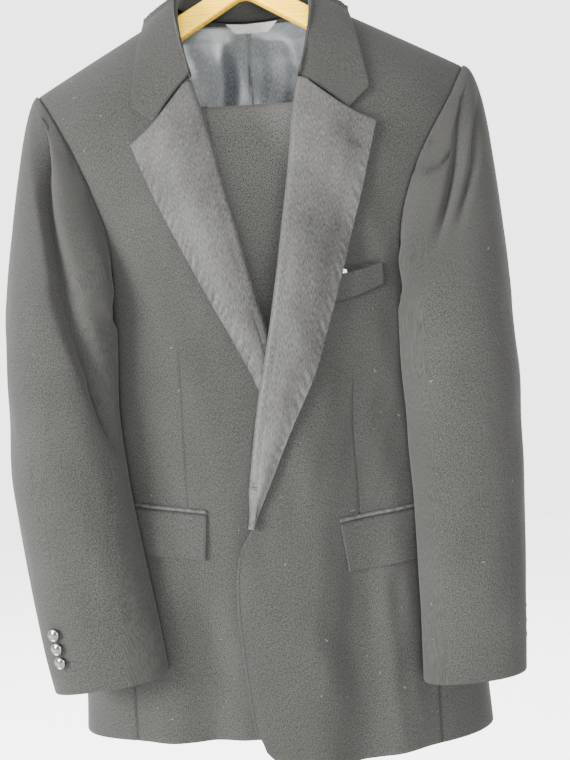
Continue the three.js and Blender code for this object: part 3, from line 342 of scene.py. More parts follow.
# %% Curves through tables
def through(rows):
    """A smooth curve through (at, value) rows."""
    rows = sorted(rows)
    at = np.array([r[0] for r in rows], float)
    value = np.array([r[1] for r in rows], float)
    before = np.maximum(np.arange(len(at)) - 1, 0)
    after = np.minimum(np.arange(len(at)) + 1, len(at) - 1)
    slope = (value[after] - value[before]) / (at[after] - at[before])

    def curve(x):
        x = np.clip(np.asarray(x, float), at[0], at[-1])
        i = np.clip(np.searchsorted(at, x) - 1, 0, len(at) - 2)
        step = at[i + 1] - at[i]
        t = (x - at[i]) / step
        return (
            (2 * t**3 - 3 * t**2 + 1) * value[i]
            + (t**3 - 2 * t**2 + t) * step * slope[i]
            + (3 * t**2 - 2 * t**3) * value[i + 1]
            + (t**3 - t**2) * step * slope[i + 1]
        )

    return curve


def ease(low, high, v):
    t = np.clip((np.asarray(v, float) - low) / (high - low), 0, 1)
    return t * t * (3 - 2 * t)


def bell(v, centre, width):
    return np.exp(-(((v - centre) / width) ** 2))


def blend(a, b, t):
    return a + (b - a) * t


def radians(angle):
    return np.radians(angle)


def point(x, y, z):
    return np.stack(np.broadcast_arrays(x, y, z), axis=-1).astype(float)


def unit(vectors):
    return vectors / np.maximum(np.linalg.norm(vectors, axis=-1, keepdims=True), 1e-9)


# %% [markdown]
# ## The trunk
# A hanging jacket keeps the shape of a chest: in section a squared oval, which rounds over into the
# shoulder seams. Every panel of the body, and all that lies on it, is a part of this one surface, so
# neighbours meet without fitting. Sizes are in millimetres and turn to metres when a mesh is made.

# %% The trunk
SHOULDER = {"neck_x": 75, "neck_z": -122.5, "tip_x": 236, "right_slope": 0.54, "left_slope": 0.505}
RIDGE_Y = 4
ROUND_OVER = {"front": 90, "back": 72}
SQUARE = 2.3
UNDERARM = {"front_z": -440, "side_z": -458, "back_z": -430}
FRONT_SEAM_X = 158
BACK_SEAM_X = 185
SEAM_GAP = 0.03
CENTRE_HEM_Z = -918

half_width = through([
    (-110, 262), (-210, 258), (-300, 240), (-380, 215), (-450, 204), (-600, 200), (-700, 206), (-800, 215),
    (-880, 223),
    (-935, 225),
])
front_depth = through([
    (-110, 58), (-210, 65), (-300, 78), (-380, 87), (-450, 91), (-600, 93), (-700, 93), (-800, 90),
    (-880, 88), (-935, 87),
])
back_depth = through([
    (-110, 33), (-210, 43), (-300, 50), (-380, 52), (-450, 50), (-600, 45), (-700, 47), (-800, 51),
    (-880, 54), (-935, 56),
])


def depth_of(z, face):
    return np.where(face < 0, front_depth(z), back_depth(z))


def shoulder_slope(x):
    return np.where(np.asarray(x) < 0, SHOULDER["right_slope"], SHOULDER["left_slope"])


def shoulder_z(x):
    return SHOULDER["neck_z"] - shoulder_slope(x) * (np.abs(x) - SHOULDER["neck_x"])


def shoulder_x(z):
    return SHOULDER["neck_x"] + (SHOULDER["neck_z"] - z) / SHOULDER["right_slope"]


def fullness(x, z, face):
    share = np.minimum(np.abs(x) / half_width(z), 0.9995)
    return depth_of(z, face) * (1 - share**SQUARE) ** (1 / SQUARE)


def near_ridge(x, z, face):
    over = np.where(face < 0, ROUND_OVER["front"], ROUND_OVER["back"])
    return 1 - np.clip((shoulder_z(x) - z) / over, 0, 1)


def trunk(x, z, face):
    depth = fullness(x, z, face) * np.sqrt(1 - near_ridge(x, z, face) ** 2)
    return point(x, RIDGE_Y + face * (depth + 0.1), z)


def trunk_normal(x, z, face):
    over = np.where(face < 0, ROUND_OVER["front"], ROUND_OVER["back"])
    near = near_ridge(x, z, face)
    full = fullness(x, z, face)
    share = 1 - near**2
    full_x = fullness(x + 0.5, z, face) - fullness(x - 0.5, z, face)
    full_z = fullness(x, z + 0.5, face) - fullness(x, z - 0.5, face)
    across = -share * full_x / full + near * shoulder_slope(x) * np.sign(x) / over
    outward = face * np.sqrt(share) / full
    upward = -share * full_z / full + near / over
    return unit(point(across, outward, upward))


def trunk_ring(side, angle, z):
    """The trunk round a level: 0 is centre front, 90 the side, 180 centre back."""
    face = np.where(angle < 90, -1, 1)
    sine = np.maximum(0, np.sin(radians(angle)))
    cosine = np.abs(np.cos(radians(angle)))
    x = side * half_width(z) * sine ** (2 / SQUARE)
    return point(x, RIDGE_Y + face * (depth_of(z, face) * cosine ** (2 / SQUARE) + 0.1), z)


def ring_angle(x, z):
    return np.degrees(np.arcsin((x / half_width(z)) ** (SQUARE / 2)))


print("shoulder tips at", shoulder_z(np.array([-236, 236])), "mm; chest", 2 * float(half_width(-450)),
    "mm wide")

# %% [markdown]
# ## Woven panels
# Cloth is a sheet with a wall. A plain grid with a Solidify modifier would do, but a seam also needs a
# soft ditch where the stitches pull, and the weave has to run along the threads. So one function takes
# a grid of points and gives back a closed wall, with its lengths as a UV map and its sewn edges and creases
# marked with painted shade.

# %% From a grid to a wall of cloth
def lengths(grid, axis):
    """Distance run along each row or column of a grid."""
    steps = np.linalg.norm(np.diff(grid, axis=axis), axis=2)
    return np.insert(np.cumsum(steps, axis=axis), 0, 0, axis=axis)


def facing_normals(grid, facing):
    return facing * unit(np.cross(np.gradient(grid, axis=1), np.gradient(grid, axis=0)))


def edge_distance(grid, sides):
    """How far each point is from the nearest of the named sides: left, right, top, bottom."""
    along, down = lengths(grid, 1), lengths(grid, 0)
    from_side = {"l": along, "r": along[:, -1:] - along, "t": down, "b": down[-1:] - down}
    far = np.full(grid.shape[:2], 1e3)
    for side in sides:
        far = np.minimum(far, from_side[side])
    return far


def closed_wall(rows, columns):
    """Faces of two layers of a grid and the rim between them."""
    number = np.arange(2 * rows * columns).reshape(2, rows, columns)
    outer, inner = number
    quads = [np.stack([outer[:-1, :-1], outer[:-1, 1:], outer[1:, 1:], outer[1:, :-1]], -1).reshape(-1, 4)]
    quads += [np.stack([inner[:-1, :-1], inner[1:, :-1], inner[1:, 1:], inner[:-1, 1:]], -1).reshape(-1, 4)]
    border = np.concatenate([outer[0, :-1], outer[:-1, -1], outer[-1, :0:-1], outer[:0:-1, 0]])
    under = border + rows * columns
    quads += [np.stack([np.roll(border, -1), border, under, np.roll(under, -1)], -1)]
    return np.concatenate(quads).tolist()


def mesh_object(name, points, faces, finish, sharp=50):
    """A smooth closed mesh, in metres, from points in millimetres, turned so that it faces out."""
    mesh = bpy.data.meshes.new(name)
    mesh.from_pydata((points * 0.001).tolist(), [], faces)
    solid = bmesh.new()
    solid.from_mesh(mesh)
    if solid.calc_volume(signed=True) < 0:
        mesh.flip_normals()
    solid.free()
    mesh.shade_smooth()
    mesh.set_sharp_from_angle(angle=math.radians(sharp))
    mesh.materials.append(finish)
    made = bpy.data.objects.new(name, mesh)
    bpy.context.scene.collection.objects.link(made)
    return made


def mark(made, threads, seam):
    """Give a mesh its thread lengths as a UV map, and the painted shade of its seams and creases as an
    attribute.
    """
    corner = np.empty(len(made.data.loops), np.int32)
    made.data.loops.foreach_get("vertex_index", corner)
    made.data.uv_layers.new(name="threads").data.foreach_set("uv", threads[corner].ravel())
    made.data.attributes.new("seam", "FLOAT", "POINT").data.foreach_set("value", seam.astype(np.float32))


# %% Sewing one panel
DITCH = {"deep": 0.5, "wide": 1.6}
ROUNDED = {"deep": 0.5, "wide": 0.9}


def sew(name, grid, wall, facing, finish, nodes=(), sewn="", crease=0):
    """One panel of cloth. sewn names its seamed sides; those and the crease lines within it are dented and
    darkened with painted shade.
    """
    rows, columns = grid.shape[:2]
    normals = facing_normals(grid, facing)
    seam = bell(edge_distance(grid, sewn), 0, DITCH["wide"]) if sewn else np.zeros((rows, columns))
    free = bell(edge_distance(grid, [s for s in "lrtb" if s not in sewn]), 0, ROUNDED["wide"])
    lowered = seam * DITCH["deep"] + free * ROUNDED["deep"] + np.asarray(crease) * 1.1
    outer = grid - normals * lowered[..., None]
    inner = grid - normals * wall
    points = np.concatenate([outer.reshape(-1, 3), inner.reshape(-1, 3)])
    made = mesh_object(name, points, closed_wall(rows, columns), finish)
    threads = np.stack([lengths(grid, 1), lengths(grid, 0)], -1).reshape(-1, 2) * 0.001
    # painted shade: seam ditches and creases darkened through the seam attribute
    dark = np.clip(seam + np.asarray(crease), 0, 1).ravel()
    mark(made, np.concatenate([threads, threads]), np.concatenate([dark, dark]))
    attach(made, "root")
    if nodes:
        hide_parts(*nodes)
    cell = np.linalg.norm(np.cross(grid[1:, 1:] - grid[:-1, :-1], grid[1:, :-1] - grid[:-1, 1:]), axis=2) / 2
    width, length = (max(lengths(grid, k).max() / 1000, 0.0101) for k in (1, 0))
    return made


def spread(count, low=0.0, high=1.0, near=(0.004, 0.012)):
    """Even places from low to high, and a few more close to both ends."""
    even = np.linspace(0, 1, count + 1)
    ends = np.array(near)
    return low + (high - low) * np.unique(np.concatenate([even, ends, 1 - ends]))


# %% [markdown]
# ## What differs between the two sides
# A worn jacket never hangs evenly. These tables hold what the photograph shows of each half: where its
# front edge, lapel and sleeve run, how low its hem is, and where its folds fall. The wearer's left laps
# over the right, so it stands off the trunk there.

# %% The two halves
WALL = {"wool": 1.8, "satin": 1.6, "collar": 2.2, "lining": 1.0}
RIGHT = {
    "name": "right", "side": -1, "hem": -905, "hem_rise": 0, "back_hem": -911, "armhole_shift": 1, "lift": 0,
    "edge": [
        (-130, 77), (-160, 76), (-200, 71.5), (-226, 66), (-278, 51.5), (-332, 39.5), (-405, 23), (-457, 11),
        (-500, 0), (-559, -12), (-610, -20), (-668, -26), (-740, -30), (-830, -28), (-905, -20),
    ],
    "roll": [(0, -226), (0.15, -278), (0.3, -341), (0.45, -410), (0.6, -478), (0.75, -545), (0.88, -604),
    (1, -656)],
    "lapel_x": [(0, 126), (0.15, 107), (0.3, 82), (0.45, 59), (0.6, 36), (0.75, 10), (0.88, -5), (1, -15)],
    "lapel_z": [(0, -288), (0.15, -338), (0.3, -394), (0.45, -443), (0.6, -490), (0.75, -547), (0.88, -604),
    (1, -654)],
    "gorge": 7,
    "dart": {"line": [(-440, 89), (-486, 89), (-594, 89), (-672, 89), (-906, 92)], "top": -486,
    "bottom": -671},
    "pocket": {"x": 70, "z": -671, "rise": 0.135, "tall": 47, "lean": 0.08},
    "outer": [(-480, 270), (-540, 271), (-600, 269), (-650, 266), (-730, 254), (-790, 244), (-834.5, 234)],
    "inner": [(-480, 144), (-540, 147), (-600, 147), (-650, 141), (-730, 130), (-790, 121), (-834.5, 116)],
    "front": [(-480, -114), (-540, -117), (-600, -118), (-650, -118), (-730, -117), (-790, -116),
    (-834.5, -114)],
    "back": [(-480, 30), (-540, 22), (-600, 4), (-650, -14), (-730, -30), (-790, -44), (-834.5, -54)],
    "head": -480, "cuff": -834.5, "cap_out": 0.27, "overhang": 7, "cuff_slant": 6.5, "elbow": (-88, 8),
    "buttons": {"angle": 53, "z": (-774, -787.5, -801)},
    # each fold's dark sets the painted shade in its groove
    "folds": [{
        "line": [
            (-215, 240), (-233, 237), (-280, 229), (-330, 222), (-397, 208), (-468, 192), (-521, 176),
            (-572, 164),
            (-600, 157),
        ],
        "dip": 15, "low": -620, "high": -222, "widths": (6, 15), "dark": 0.4,
    }],
    "pinches": [],
}
LEFT = {
    "name": "left", "side": 1, "hem": -934, "hem_rise": 7, "back_hem": -924, "armhole_shift": -8, "lift": 13,
    "edge": [
        (-130, 74.5), (-160, 72.3), (-200, 65.5), (-229, 56.5), (-263, 49), (-316, 41.5), (-365, 33.5),
        (-449, 19),
        (-519, 5), (-559, -4), (-599, -11), (-644, -18), (-688, -25), (-703, -34), (-718, -39.5), (-745, -43),
        (-780, -43), (-840, -39), (-898, -33), (-934, -24),
    ],
    "roll": [(0, -229), (0.15, -290), (0.3, -357), (0.45, -435), (0.6, -508), (0.75, -580), (0.88, -636),
    (1, -686)],
    "lapel_x": [(0, 128), (0.15, 112), (0.3, 90), (0.45, 67), (0.6, 46), (0.75, 20), (0.88, -1), (1, -22.5)],
    "lapel_z": [(0, -278), (0.15, -336), (0.3, -408), (0.45, -478), (0.6, -538), (0.75, -592), (0.88, -638),
    (1, -686)],
    "gorge": 6,
    "dart": {"line": [(-440, 90), (-524, 89), (-585, 84), (-636, 85), (-690, 85), (-934, 88)], "top": -524,
    "bottom": -686},
    "pocket": {"x": 64, "z": -687, "rise": 0.1, "tall": 51, "lean": 0.125},
    "outer": [(-480, 260), (-540, 262), (-600, 260), (-650, 257), (-730, 252), (-790, 248), (-849.5, 244)],
    "inner": [(-480, 129), (-540, 130), (-600, 133), (-650, 137), (-730, 139), (-790, 139), (-849.5, 138)],
    "front": [(-480, -114), (-540, -117), (-600, -118), (-650, -118), (-730, -117), (-790, -116),
    (-849.5, -114)],
    "back": [(-480, 30), (-540, 22), (-600, 4), (-650, -14), (-730, -30), (-790, -44), (-849.5, -54)],
    "head": -480, "cuff": -849.5, "cap_out": 0.38, "overhang": 10, "cuff_slant": -3.5, "elbow": (-88, -14),
    "buttons": {"angle": -18, "z": (-790, -804.5, -819)},
    # each fold's dark sets the painted shade in its groove
    "folds": [
        {
            "line": [
                (-215, 238), (-240, 234), (-275, 226), (-310, 218), (-345, 206), (-380, 192), (-420, 176),
                (-470, 160),
            ],
            "dip": 9, "low": -430, "high": -222, "widths": (5, 11), "dark": 0.45,
        },
        {
            "line": [(-215, 252), (-250, 247), (-290, 238), (-330, 229), (-370, 213), (-405, 200),
            (-470, 176)],
            "dip": 6, "low": -420, "high": -235, "widths": (5, 8), "dark": 0.35,
        },
    ],
    "pinches": [[(166, -327), (181, -333), (194, -327), (203, -318)], [(180, -297), (187, -301)]],
}
HALVES = (RIGHT, LEFT)
ARMHOLE_FRONT = [(-440, 158), (-420, 154.5), (-388, 156), (-359, 163), (-318, 178), (-284, 193), (-237, 218)]
ARMHOLE_BACK = [(-430, 185), (-400, 174), (-360, 171), (-320, 177), (-280, 190), (-240, 215)]
HEAD_FRONT = [(30, -236), (60, -290), (90, -350), (115, -400), (140, -440)]
HEAD_BACK = [(215, -430), (240, -395), (270, -335), (300, -280), (330, -232)]
for half in HALVES:
    tip_z = half["tip_z"] = float(shoulder_z(half["side"] * SHOULDER["tip_x"]))
    half["hole"] = {-1: through(ARMHOLE_FRONT + [(tip_z, 236)]), 1: through(ARMHOLE_BACK + [(tip_z, 236)])}
    half["head_z"] = {-1: through(HEAD_FRONT + [(0, tip_z)]), 1: through(HEAD_BACK + [(360, tip_z)])}


def armhole_x(half, z, face):
    low = half["armhole_shift"] * (1 - ease(-340, -240, z)) * ease(-440, -405, z)
    return np.where(face < 0, half["hole"][-1](z) + low, half["hole"][1](z))


print("hems at", RIGHT["hem"], "and", LEFT["hem"], "mm")


# %% [markdown]
# ## Folds of the fronts
# Folds are lifts off the trunk along its own normal: the overlap where one front lies on the other, a
# long soft fold from the hip to the hem on each side, a dent at the chest, and slow small waves that
# keep wide cloth from looking like sheet metal. Whatever lies on a front asks for the same lift.

# %% Folds of the fronts
WAVES = [(41.0, 0.3, 1.1, 0.35), (23.0, -0.22, 2.7, 0.2), (67.0, 0.55, 4.2, 0.45)]


def slow_waves(a, b):
    """Slow uneven waves, each given by its length, slant, phase and height."""
    return sum(high * np.sin(2 * np.pi * (a + slant * b) / long + phase + np.sin(b / (1.7 * long)))
               for long, slant, phase, high in WAVES)


def front_rise(half, x, z):
    out = np.abs(x)
    overlap = half["lift"] * (1 - ease(30, 95, half["side"] * x)) * (1 - ease(-430, -340, z))
    hip_fold = 5 * bell(out, 118, 22) * (1 - ease(-760, -640, z))
    hip_trough = -5 * bell(out, 72, 20) * (1 - ease(-800, -700, z))
    waves = slow_waves(x, z) * 0.8 * (1 - ease(125, 152, out)) * (1 - ease(-300, -180, z))
    if half is RIGHT:
        return overlap + hip_fold + hip_trough + waves
    dent = -5 * bell(out, 104, 17) * bell(z, -408, 17)
    where = bell(out, 112, 26) * (1 - ease(-770, -730, z)) * ease(-925, -860, z)
    ripple = 1.1 * np.sin(out / 4.6 + z / 90) * where
    return overlap + hip_fold + hip_trough + dent + waves + ripple


def on_front(half, x, z, lift=0.0):
    rise = front_rise(half, x, z) + lift
    return trunk(x, z, -1) + trunk_normal(x, z, -1) * rise[..., None]


# %% [markdown]
# ## The two fronts
# A front is cut from shoulder to hem in one piece, with a dart taken out below the chest. Its rows fan
# from the shoulder seam round the armhole, then run level to the hem. A column follows the dart, so
# that the mesh has points just where the dart's ditch is.

# %% The two fronts
def front_grid(half, us, vs):
    edge_x = through(half["edge"])
    dart_x = through(half["dart"]["line"])
    hem, side = half["hem"], half["side"]
    share, v = np.meshgrid(us, vs)
    lower_z = blend(UNDERARM["front_z"], hem, np.maximum(v - 1, 0))
    low_edge = edge_x(lower_z)
    low_hole = np.minimum(armhole_x(half, lower_z, -1), FRONT_SEAM_X - SEAM_GAP)
    dart_share = (dart_x(lower_z) - low_edge) / (low_hole - low_edge)
    u = np.where(share < 1, share * dart_share, dart_share + (share - 1) * (1 - dart_share))
    t = np.minimum(v, 1)
    edge_z = blend(shoulder_z(side * edge_x(-125.0)), UNDERARM["front_z"], t)
    hole_z = blend(half["tip_z"], UNDERARM["front_z"], t)
    high_x = blend(edge_x(edge_z), armhole_x(half, hole_z, -1), u)
    x = np.where(v < 1, high_x, blend(low_edge, low_hole, u))
    cut = 22 * (1 - np.clip((x - low_edge) / 34, 0, 1)) ** 2 * (1 - ease(hem, hem + 60, lower_z))
    rise = half["hem_rise"] * ease(50, FRONT_SEAM_X, x) * np.maximum(v - 1, 0)
    z = np.where(v < 1, blend(edge_z, hole_z, u), lower_z + rise + cut)
    return on_front(half, side * x, z), side * x, z


FRONT_ROWS = np.unique(np.concatenate([
    [0, 0.001, 0.003, 0.006, 0.012, 0.02, 0.03, 0.045], np.linspace(0.06, 1, 66),
    spread(104, 1, 2, near=(0.004, 0.01)),
]))
NEAR_DART = np.array([0.012, 0.03, 0.055])
FRONT_COLUMNS = np.unique(np.concatenate([
    [0.006, 0.016, 0.03, 0.045, 0.06], np.linspace(0, 1, 46), 1 - NEAR_DART, 1 + 1.4 * NEAR_DART,
    np.linspace(1, 2, 32), [1.97, 1.99],
]))


def front_creases(half, x, z):
    """Lines dented and darkened with painted shade: the dart, the stitching beside the closing edge and, on
    the left, a painted shadow in the breast pocket's mouth.
    """
    dart = half["dart"]
    ditch = 0.6 * bell(np.abs(x), through(dart["line"])(z), 1.0) * ease(dart["bottom"] - 6, dart["bottom"], z)
    ditch = ditch * (1 - ease(dart["top"] - 30, dart["top"], z))
    if half is RIGHT:
        return ditch
    from_edge = x - through(half["edge"])(z)
    facing_line = 0.7 * bell(from_edge, 3.2, 0.6) * (1 - ease(-712, -700, z))
    # painted shadow along the gaping pocket mouth above the welt
    mouth = bell(z, -422.5 - 0.2 * (126 - x), 2.6) * ease(62, 70, x) * (1 - ease(122, 126, x))
    return np.clip(ditch + facing_line + mouth, 0, 1)


for half in HALVES:
    grid, x, z = front_grid(half, FRONT_COLUMNS, FRONT_ROWS)
    sew(
        f"front_{half['name']}_cloth", grid, WALL["wool"], -half["side"], WOOL,
        [f"front_{half['name']}"],
        sewn="tr", crease=front_creases(half, x, z),
    )

# %% [markdown]
# ## Side bodies and backs
# Under each arm a narrow side body takes the jacket round the ribs, and two backs meet in a seam down
# the spine. They lie on the same trunk. The waves fade out at the seams, so neighbours still meet.

# %% Side bodies and backs
def underarm_z(share):
    low = np.sin(np.pi * share)
    level = blend(UNDERARM["front_z"], UNDERARM["back_z"], share)
    return level + low * (UNDERARM["side_z"] - (UNDERARM["front_z"] + UNDERARM["back_z"]) / 2)


def side_grid(half, us, vs):
    u, v = np.meshgrid(us, vs)
    z = blend(blend(half["hem"] + half["hem_rise"], half["back_hem"], u), underarm_z(u), 1 - v)
    start = ring_angle(FRONT_SEAM_X + SEAM_GAP, z)
    end = 180 - ring_angle(BACK_SEAM_X + SEAM_GAP, z)
    grid = trunk_ring(half["side"], blend(start, end, u), z)
    window = np.sin(np.pi * u) * ease(0, 0.15, v)
    return grid + facing_normals(grid, -half["side"]) * (slow_waves(u * 90, z) * 1.3 * window)[..., None]


def back_grid(half, us, vs):
    u, v = np.meshgrid(us, vs)
    neck_x = SHOULDER["neck_x"]
    top_x = u * SHOULDER["tip_x"]
    top = np.where(top_x < neck_x, blend(-128, SHOULDER["neck_z"], (top_x / neck_x) ** 2),
        shoulder_z(half["side"] * top_x))
    t, low = np.minimum(v, 1), np.maximum(v - 1, 0)
    hole_z = blend(half["tip_z"], UNDERARM["back_z"], t)
    x = np.where(v < 1, blend(SEAM_GAP, armhole_x(half, hole_z, 1), u),
        blend(SEAM_GAP, BACK_SEAM_X - SEAM_GAP, u))
    hem = blend(CENTRE_HEM_Z, half["back_hem"], u)
    z = np.where(v < 1, blend(top, UNDERARM["back_z"], t), blend(UNDERARM["back_z"], hem, low))
    side_x = half["side"] * x
    window = np.sin(np.pi * np.clip(u, 0, 1)) * ease(0.1, 0.5, v)
    folds = 2.2 * np.sin(x / 17 + 0.6) * ease(1.0, 1.7, v) + slow_waves(side_x, z) * 1.4
    return trunk(side_x, z, 1) + trunk_normal(side_x, z, 1) * (folds * window)[..., None]


BACK_ROWS = np.unique(np.concatenate([[0, 0.001, 0.003, 0.006, 0.012, 0.02, 0.035],
    np.linspace(0.05, 2, 110)]))
for half in HALVES:
    name, side = half["name"], half["side"]
    sew(
        f"side_body_{name}_cloth", side_grid(half, spread(22), spread(70)), WALL["wool"], -side, WOOL,
        [f"side_body_{name}"], sewn="lrt",
    )
    sew(
        f"back_{name}_cloth", back_grid(half, spread(46), BACK_ROWS), WALL["wool"], side, WOOL,
        [f"back_{name}"], sewn="ltr",
    )

# %% [markdown]
# ## Sleeves
# A sleeve is two panels, the top one and the narrow under one, set into the armhole. Hung up, it drops
# in front of the hip and lies against the trunk, and its cap breaks into one or two deep folds. Each
# level is a squared ring, pushed off the trunk where the two would meet. A curve from the armhole's edge leads
# into it, and a fold is a dip that runs down the ring at the angles the photograph shows.

# %% Where a sleeve's points lie
def clear_of_trunk(p):
    depth = np.where(p[..., 1] < RIDGE_Y, front_depth(p[..., 2]), back_depth(p[..., 2]))
    out = p[..., 1] - RIDGE_Y
    across = (np.abs(p[..., 0]) / half_width(p[..., 2])) ** SQUARE
    reach = (across + (np.abs(out) / depth) ** SQUARE) ** (1 / SQUARE)
    clear = blend(1.05, 1.035, ease(-560, -480, p[..., 2]))
    wanted = (reach + clear + np.sqrt((reach - clear) ** 2 + 0.004)) / 2
    return point(p[..., 0] * wanted / reach, RIDGE_Y + out * wanted / reach, p[..., 2])


def armhole_edge(half, angle, inward=0.0):
    """A place on the armhole's edge, and inward of it along the seam allowance."""
    turn = np.mod(angle, 360)
    beside = np.array([half["side"] * 0.6, 0, 0])
    share = np.clip((turn - 140) / 75, 0, 1)
    low_z = underarm_z(share)
    low_angle = blend(ring_angle(FRONT_SEAM_X, low_z), 180 - ring_angle(BACK_SEAM_X, low_z), share)
    under = trunk_ring(half["side"], low_angle, low_z) * np.array([1.006, 1.006, 1])
    place, normal = {}, {}
    for face in (-1, 1):
        z = half["head_z"][face](turn)
        x = half["side"] * armhole_x(half, z, face)
        normal[face] = trunk_normal(x, z, face)
        place[face] = trunk(x, z, face) + normal[face]
    is_front = (turn <= 140)[..., None]
    is_under = ((turn > 140) & (turn < 215))[..., None]
    edge = np.where(is_under, under, np.where(is_front, place[-1], place[1])) + beside
    upward = (ease(105, 140, turn) * (1 - ease(215, 250, turn)))[..., None]
    inside = unit(blend(-np.where(is_front, normal[-1], normal[1]), np.array([0, 0, 1.0]), upward))
    return edge + inside * np.asarray(inward)[..., None]


def sleeve_points(half):
    outer, inner, front, back = (through(half[k]) for k in ("outer", "inner", "front", "back"))
    side, head, cuff = half["side"], half["head"], half["cuff"]
    power = 2 / 2.25

    def ring(angle, z):
        c, s = np.cos(radians(angle)), np.sin(radians(angle))
        x = (outer(z) + inner(z)) / 2 + (outer(z) - inner(z)) / 2 * np.sign(c) * np.abs(c) ** power
        y = (front(z) + back(z)) / 2 - (back(z) - front(z)) / 2 * np.sign(s) * np.abs(s) ** power
        return clear_of_trunk(point(side * x, y, z))

    def cap(angle, t):
        start, end = armhole_edge(half, angle), ring(angle, np.full_like(angle, head))
        long = (np.linalg.norm(end - start, axis=-1) + 12)[..., None]
        c, s = np.cos(radians(angle)), np.sin(radians(angle))
        outside = (1 + c) / 2
        out = point(side * (half["cap_out"] * outside - 0.1), -0.25 * s, -0.75 * (1 - outside)) * long
        bulge = bell(angle, 122 + 30 * ease(0.3, 0.85, t), 26)
        over = half["overhang"] * bulge * ease(0, 0.35, t) * (1 - ease(0.6, 1, t))
        t = t[..., None]
        p = start * (2 * t**3 - 3 * t**2 + 1) + out * (t**3 - 2 * t**2 + t) + end * (3 * t**2 - 2 * t**3)
        p = p + np.array([0, 0, -0.8]) * long * (t**3 - t**2)
        below = np.maximum(ease(-465, -440, p[..., 2])[..., None], ease(0.7, 1, t))
        return blend(clear_of_trunk(p), p, below) + over[..., None] * np.array([-side, -0.9, 0])

    def smooth(angle, v):
        low = ring(angle, blend(head, cuff, np.maximum(v - 1, 0)))
        p = np.where((v < 1)[..., None], cap(angle, np.clip(v, 0, 1)), low)
        return np.where((v < 0)[..., None], armhole_edge(half, angle, np.maximum(-v, 0) * ALLOWANCE), p)

    # The angle at which each level crosses the line of a fold
    turns, levels = np.meshgrid(np.arange(6.0, 166), np.linspace(0, 2, 61))
    swept = smooth(turns, levels)

    def angle_along(line):
        inside = np.abs(swept[..., 0]) < through(line)(swept[..., 2])
        crossing = np.where(inside.any(axis=1), 6.0 + inside.argmax(axis=1), 165)
        return through(list(zip(levels[:, 0], crossing)))

    fold_angles = [angle_along(fold["line"]) for fold in half["folds"]]

    def fold_window(fold, v, z):
        faded = 1 - ease(fold["high"] - 40, fold["high"], z)
        return ease(fold["low"], fold["low"] + 70, z) * faded * ease(0, 0.2, v)

    def at(angle, v):
        p = smooth(angle, v)
        z = p[..., 2]
        centre = point(side * (outer(z) + inner(z)) / 2, (front(z) + back(z)) / 2, z)
        dip = sleeve_detail(half, angle, v, p)
        for fold, fold_angle in zip(half["folds"], fold_angles):
            away = np.mod(angle, 360) - fold_angle(v)
            steep, gentle = fold["widths"]
            flanks = np.where(away < 0, bell(away, 0, steep), bell(away, 0, gentle))
            dip = dip + fold["dip"] * fold_window(fold, v, z) * flanks
        p = p + unit(centre - p) * dip[..., None]
        p[..., 2] -= half["cuff_slant"] * np.cos(radians(angle)) * ease(1.5, 2, v)
        return p

    # painted shade along the fold grooves and the pinches, which sew also dents a little
    def creases(angle, v):
        p = smooth(angle, v)
        dark = pinched(half, angle, p) * 0.8
        for fold, fold_angle in zip(half["folds"], fold_angles):
            near_fold = bell(np.mod(angle, 360) - fold_angle(v), 1, 2.6)
            dark = dark + fold["dark"] * fold_window(fold, v, p[..., 2]) * near_fold
        return np.clip(dark, 0, 1)

    at.fold_angle = fold_angles[0]
    at.creases = creases
    return at


ALLOWANCE = 110.0


def stroke(x, z, places, wide):
    """1 along a line of (x, z) places as seen from the front, falling to 0 beside it."""
    near = np.full(np.shape(x), 1e3)
    for (x0, z0), (x1, z1) in zip(places, places[1:]):
        long = (x1 - x0) ** 2 + (z1 - z0) ** 2
        t = np.clip(((x - x0) * (x1 - x0) + (z - z0) * (z1 - z0)) / long, 0, 1)
        near = np.minimum(near, np.hypot(x - blend(x0, x1, t), z - blend(z0, z1, t)))
    return bell(near, 0, wide)


def pinched(half, angle, p):
    pinch = sum((stroke(np.abs(p[..., 0]), p[..., 2], places, 2.2) for places in half["pinches"]),
        np.zeros(angle.shape))
    return pinch * (1 - ease(120, 150, np.mod(angle, 360)))


def sleeve_detail(half, angle, v, p):
    """Small puckers where the cap is eased into the armhole, and slow drag lines further down."""
    z = p[..., 2]
    in_front = 1 - ease(120, 150, np.mod(angle, 360))
    puckers = 0.9 * np.cos(radians(angle * 17)) * bell(v, 0.05, 0.045) * in_front
    window = ease(0.1, 0.35, v) * (1 - ease(1.86, 2, v))
    drag = 1.1 * np.sin(z / 19 + angle / 26 + half["side"]) * bell(z, -585, 60)
    pinches = 1.6 * pinched(half, angle, p) * ease(0.02, 0.12, v)
    waves = slow_waves(angle * 1.3, z * 0.9) * 0.45 + drag
    return puckers + pinches + waves * window


# %% The four sleeve panels
SLEEVE_ROWS = np.unique(np.concatenate([
    [-0.07, -0.045, -0.03, -0.015, -0.004, 0, 0.006, 0.014, 0.025], np.linspace(0.04, 1, 62),
    spread(86, 1, 2, near=(0.004, 0.01)),
]))


def top_sleeve_grid(half, at, us):
    u, v = np.meshgrid(us, SLEEVE_ROWS)
    start = blend(*half["elbow"], ease(0.9, 2, v)) + SEAM_GAP
    end = blend(140, 176, ease(0.3, 1.4, v)) - SEAM_GAP
    dip = np.clip(at.fold_angle(v), start + 30, end - 12)
    tip = blend(0, (start + dip) / 2, ease(0, 1, v))
    angle = np.where(u < 1, blend(start, tip, u),
        np.where(u < 2, blend(tip, dip, u - 1), blend(dip, end, u - 2)))
    return at(angle, v), at.creases(angle, v)


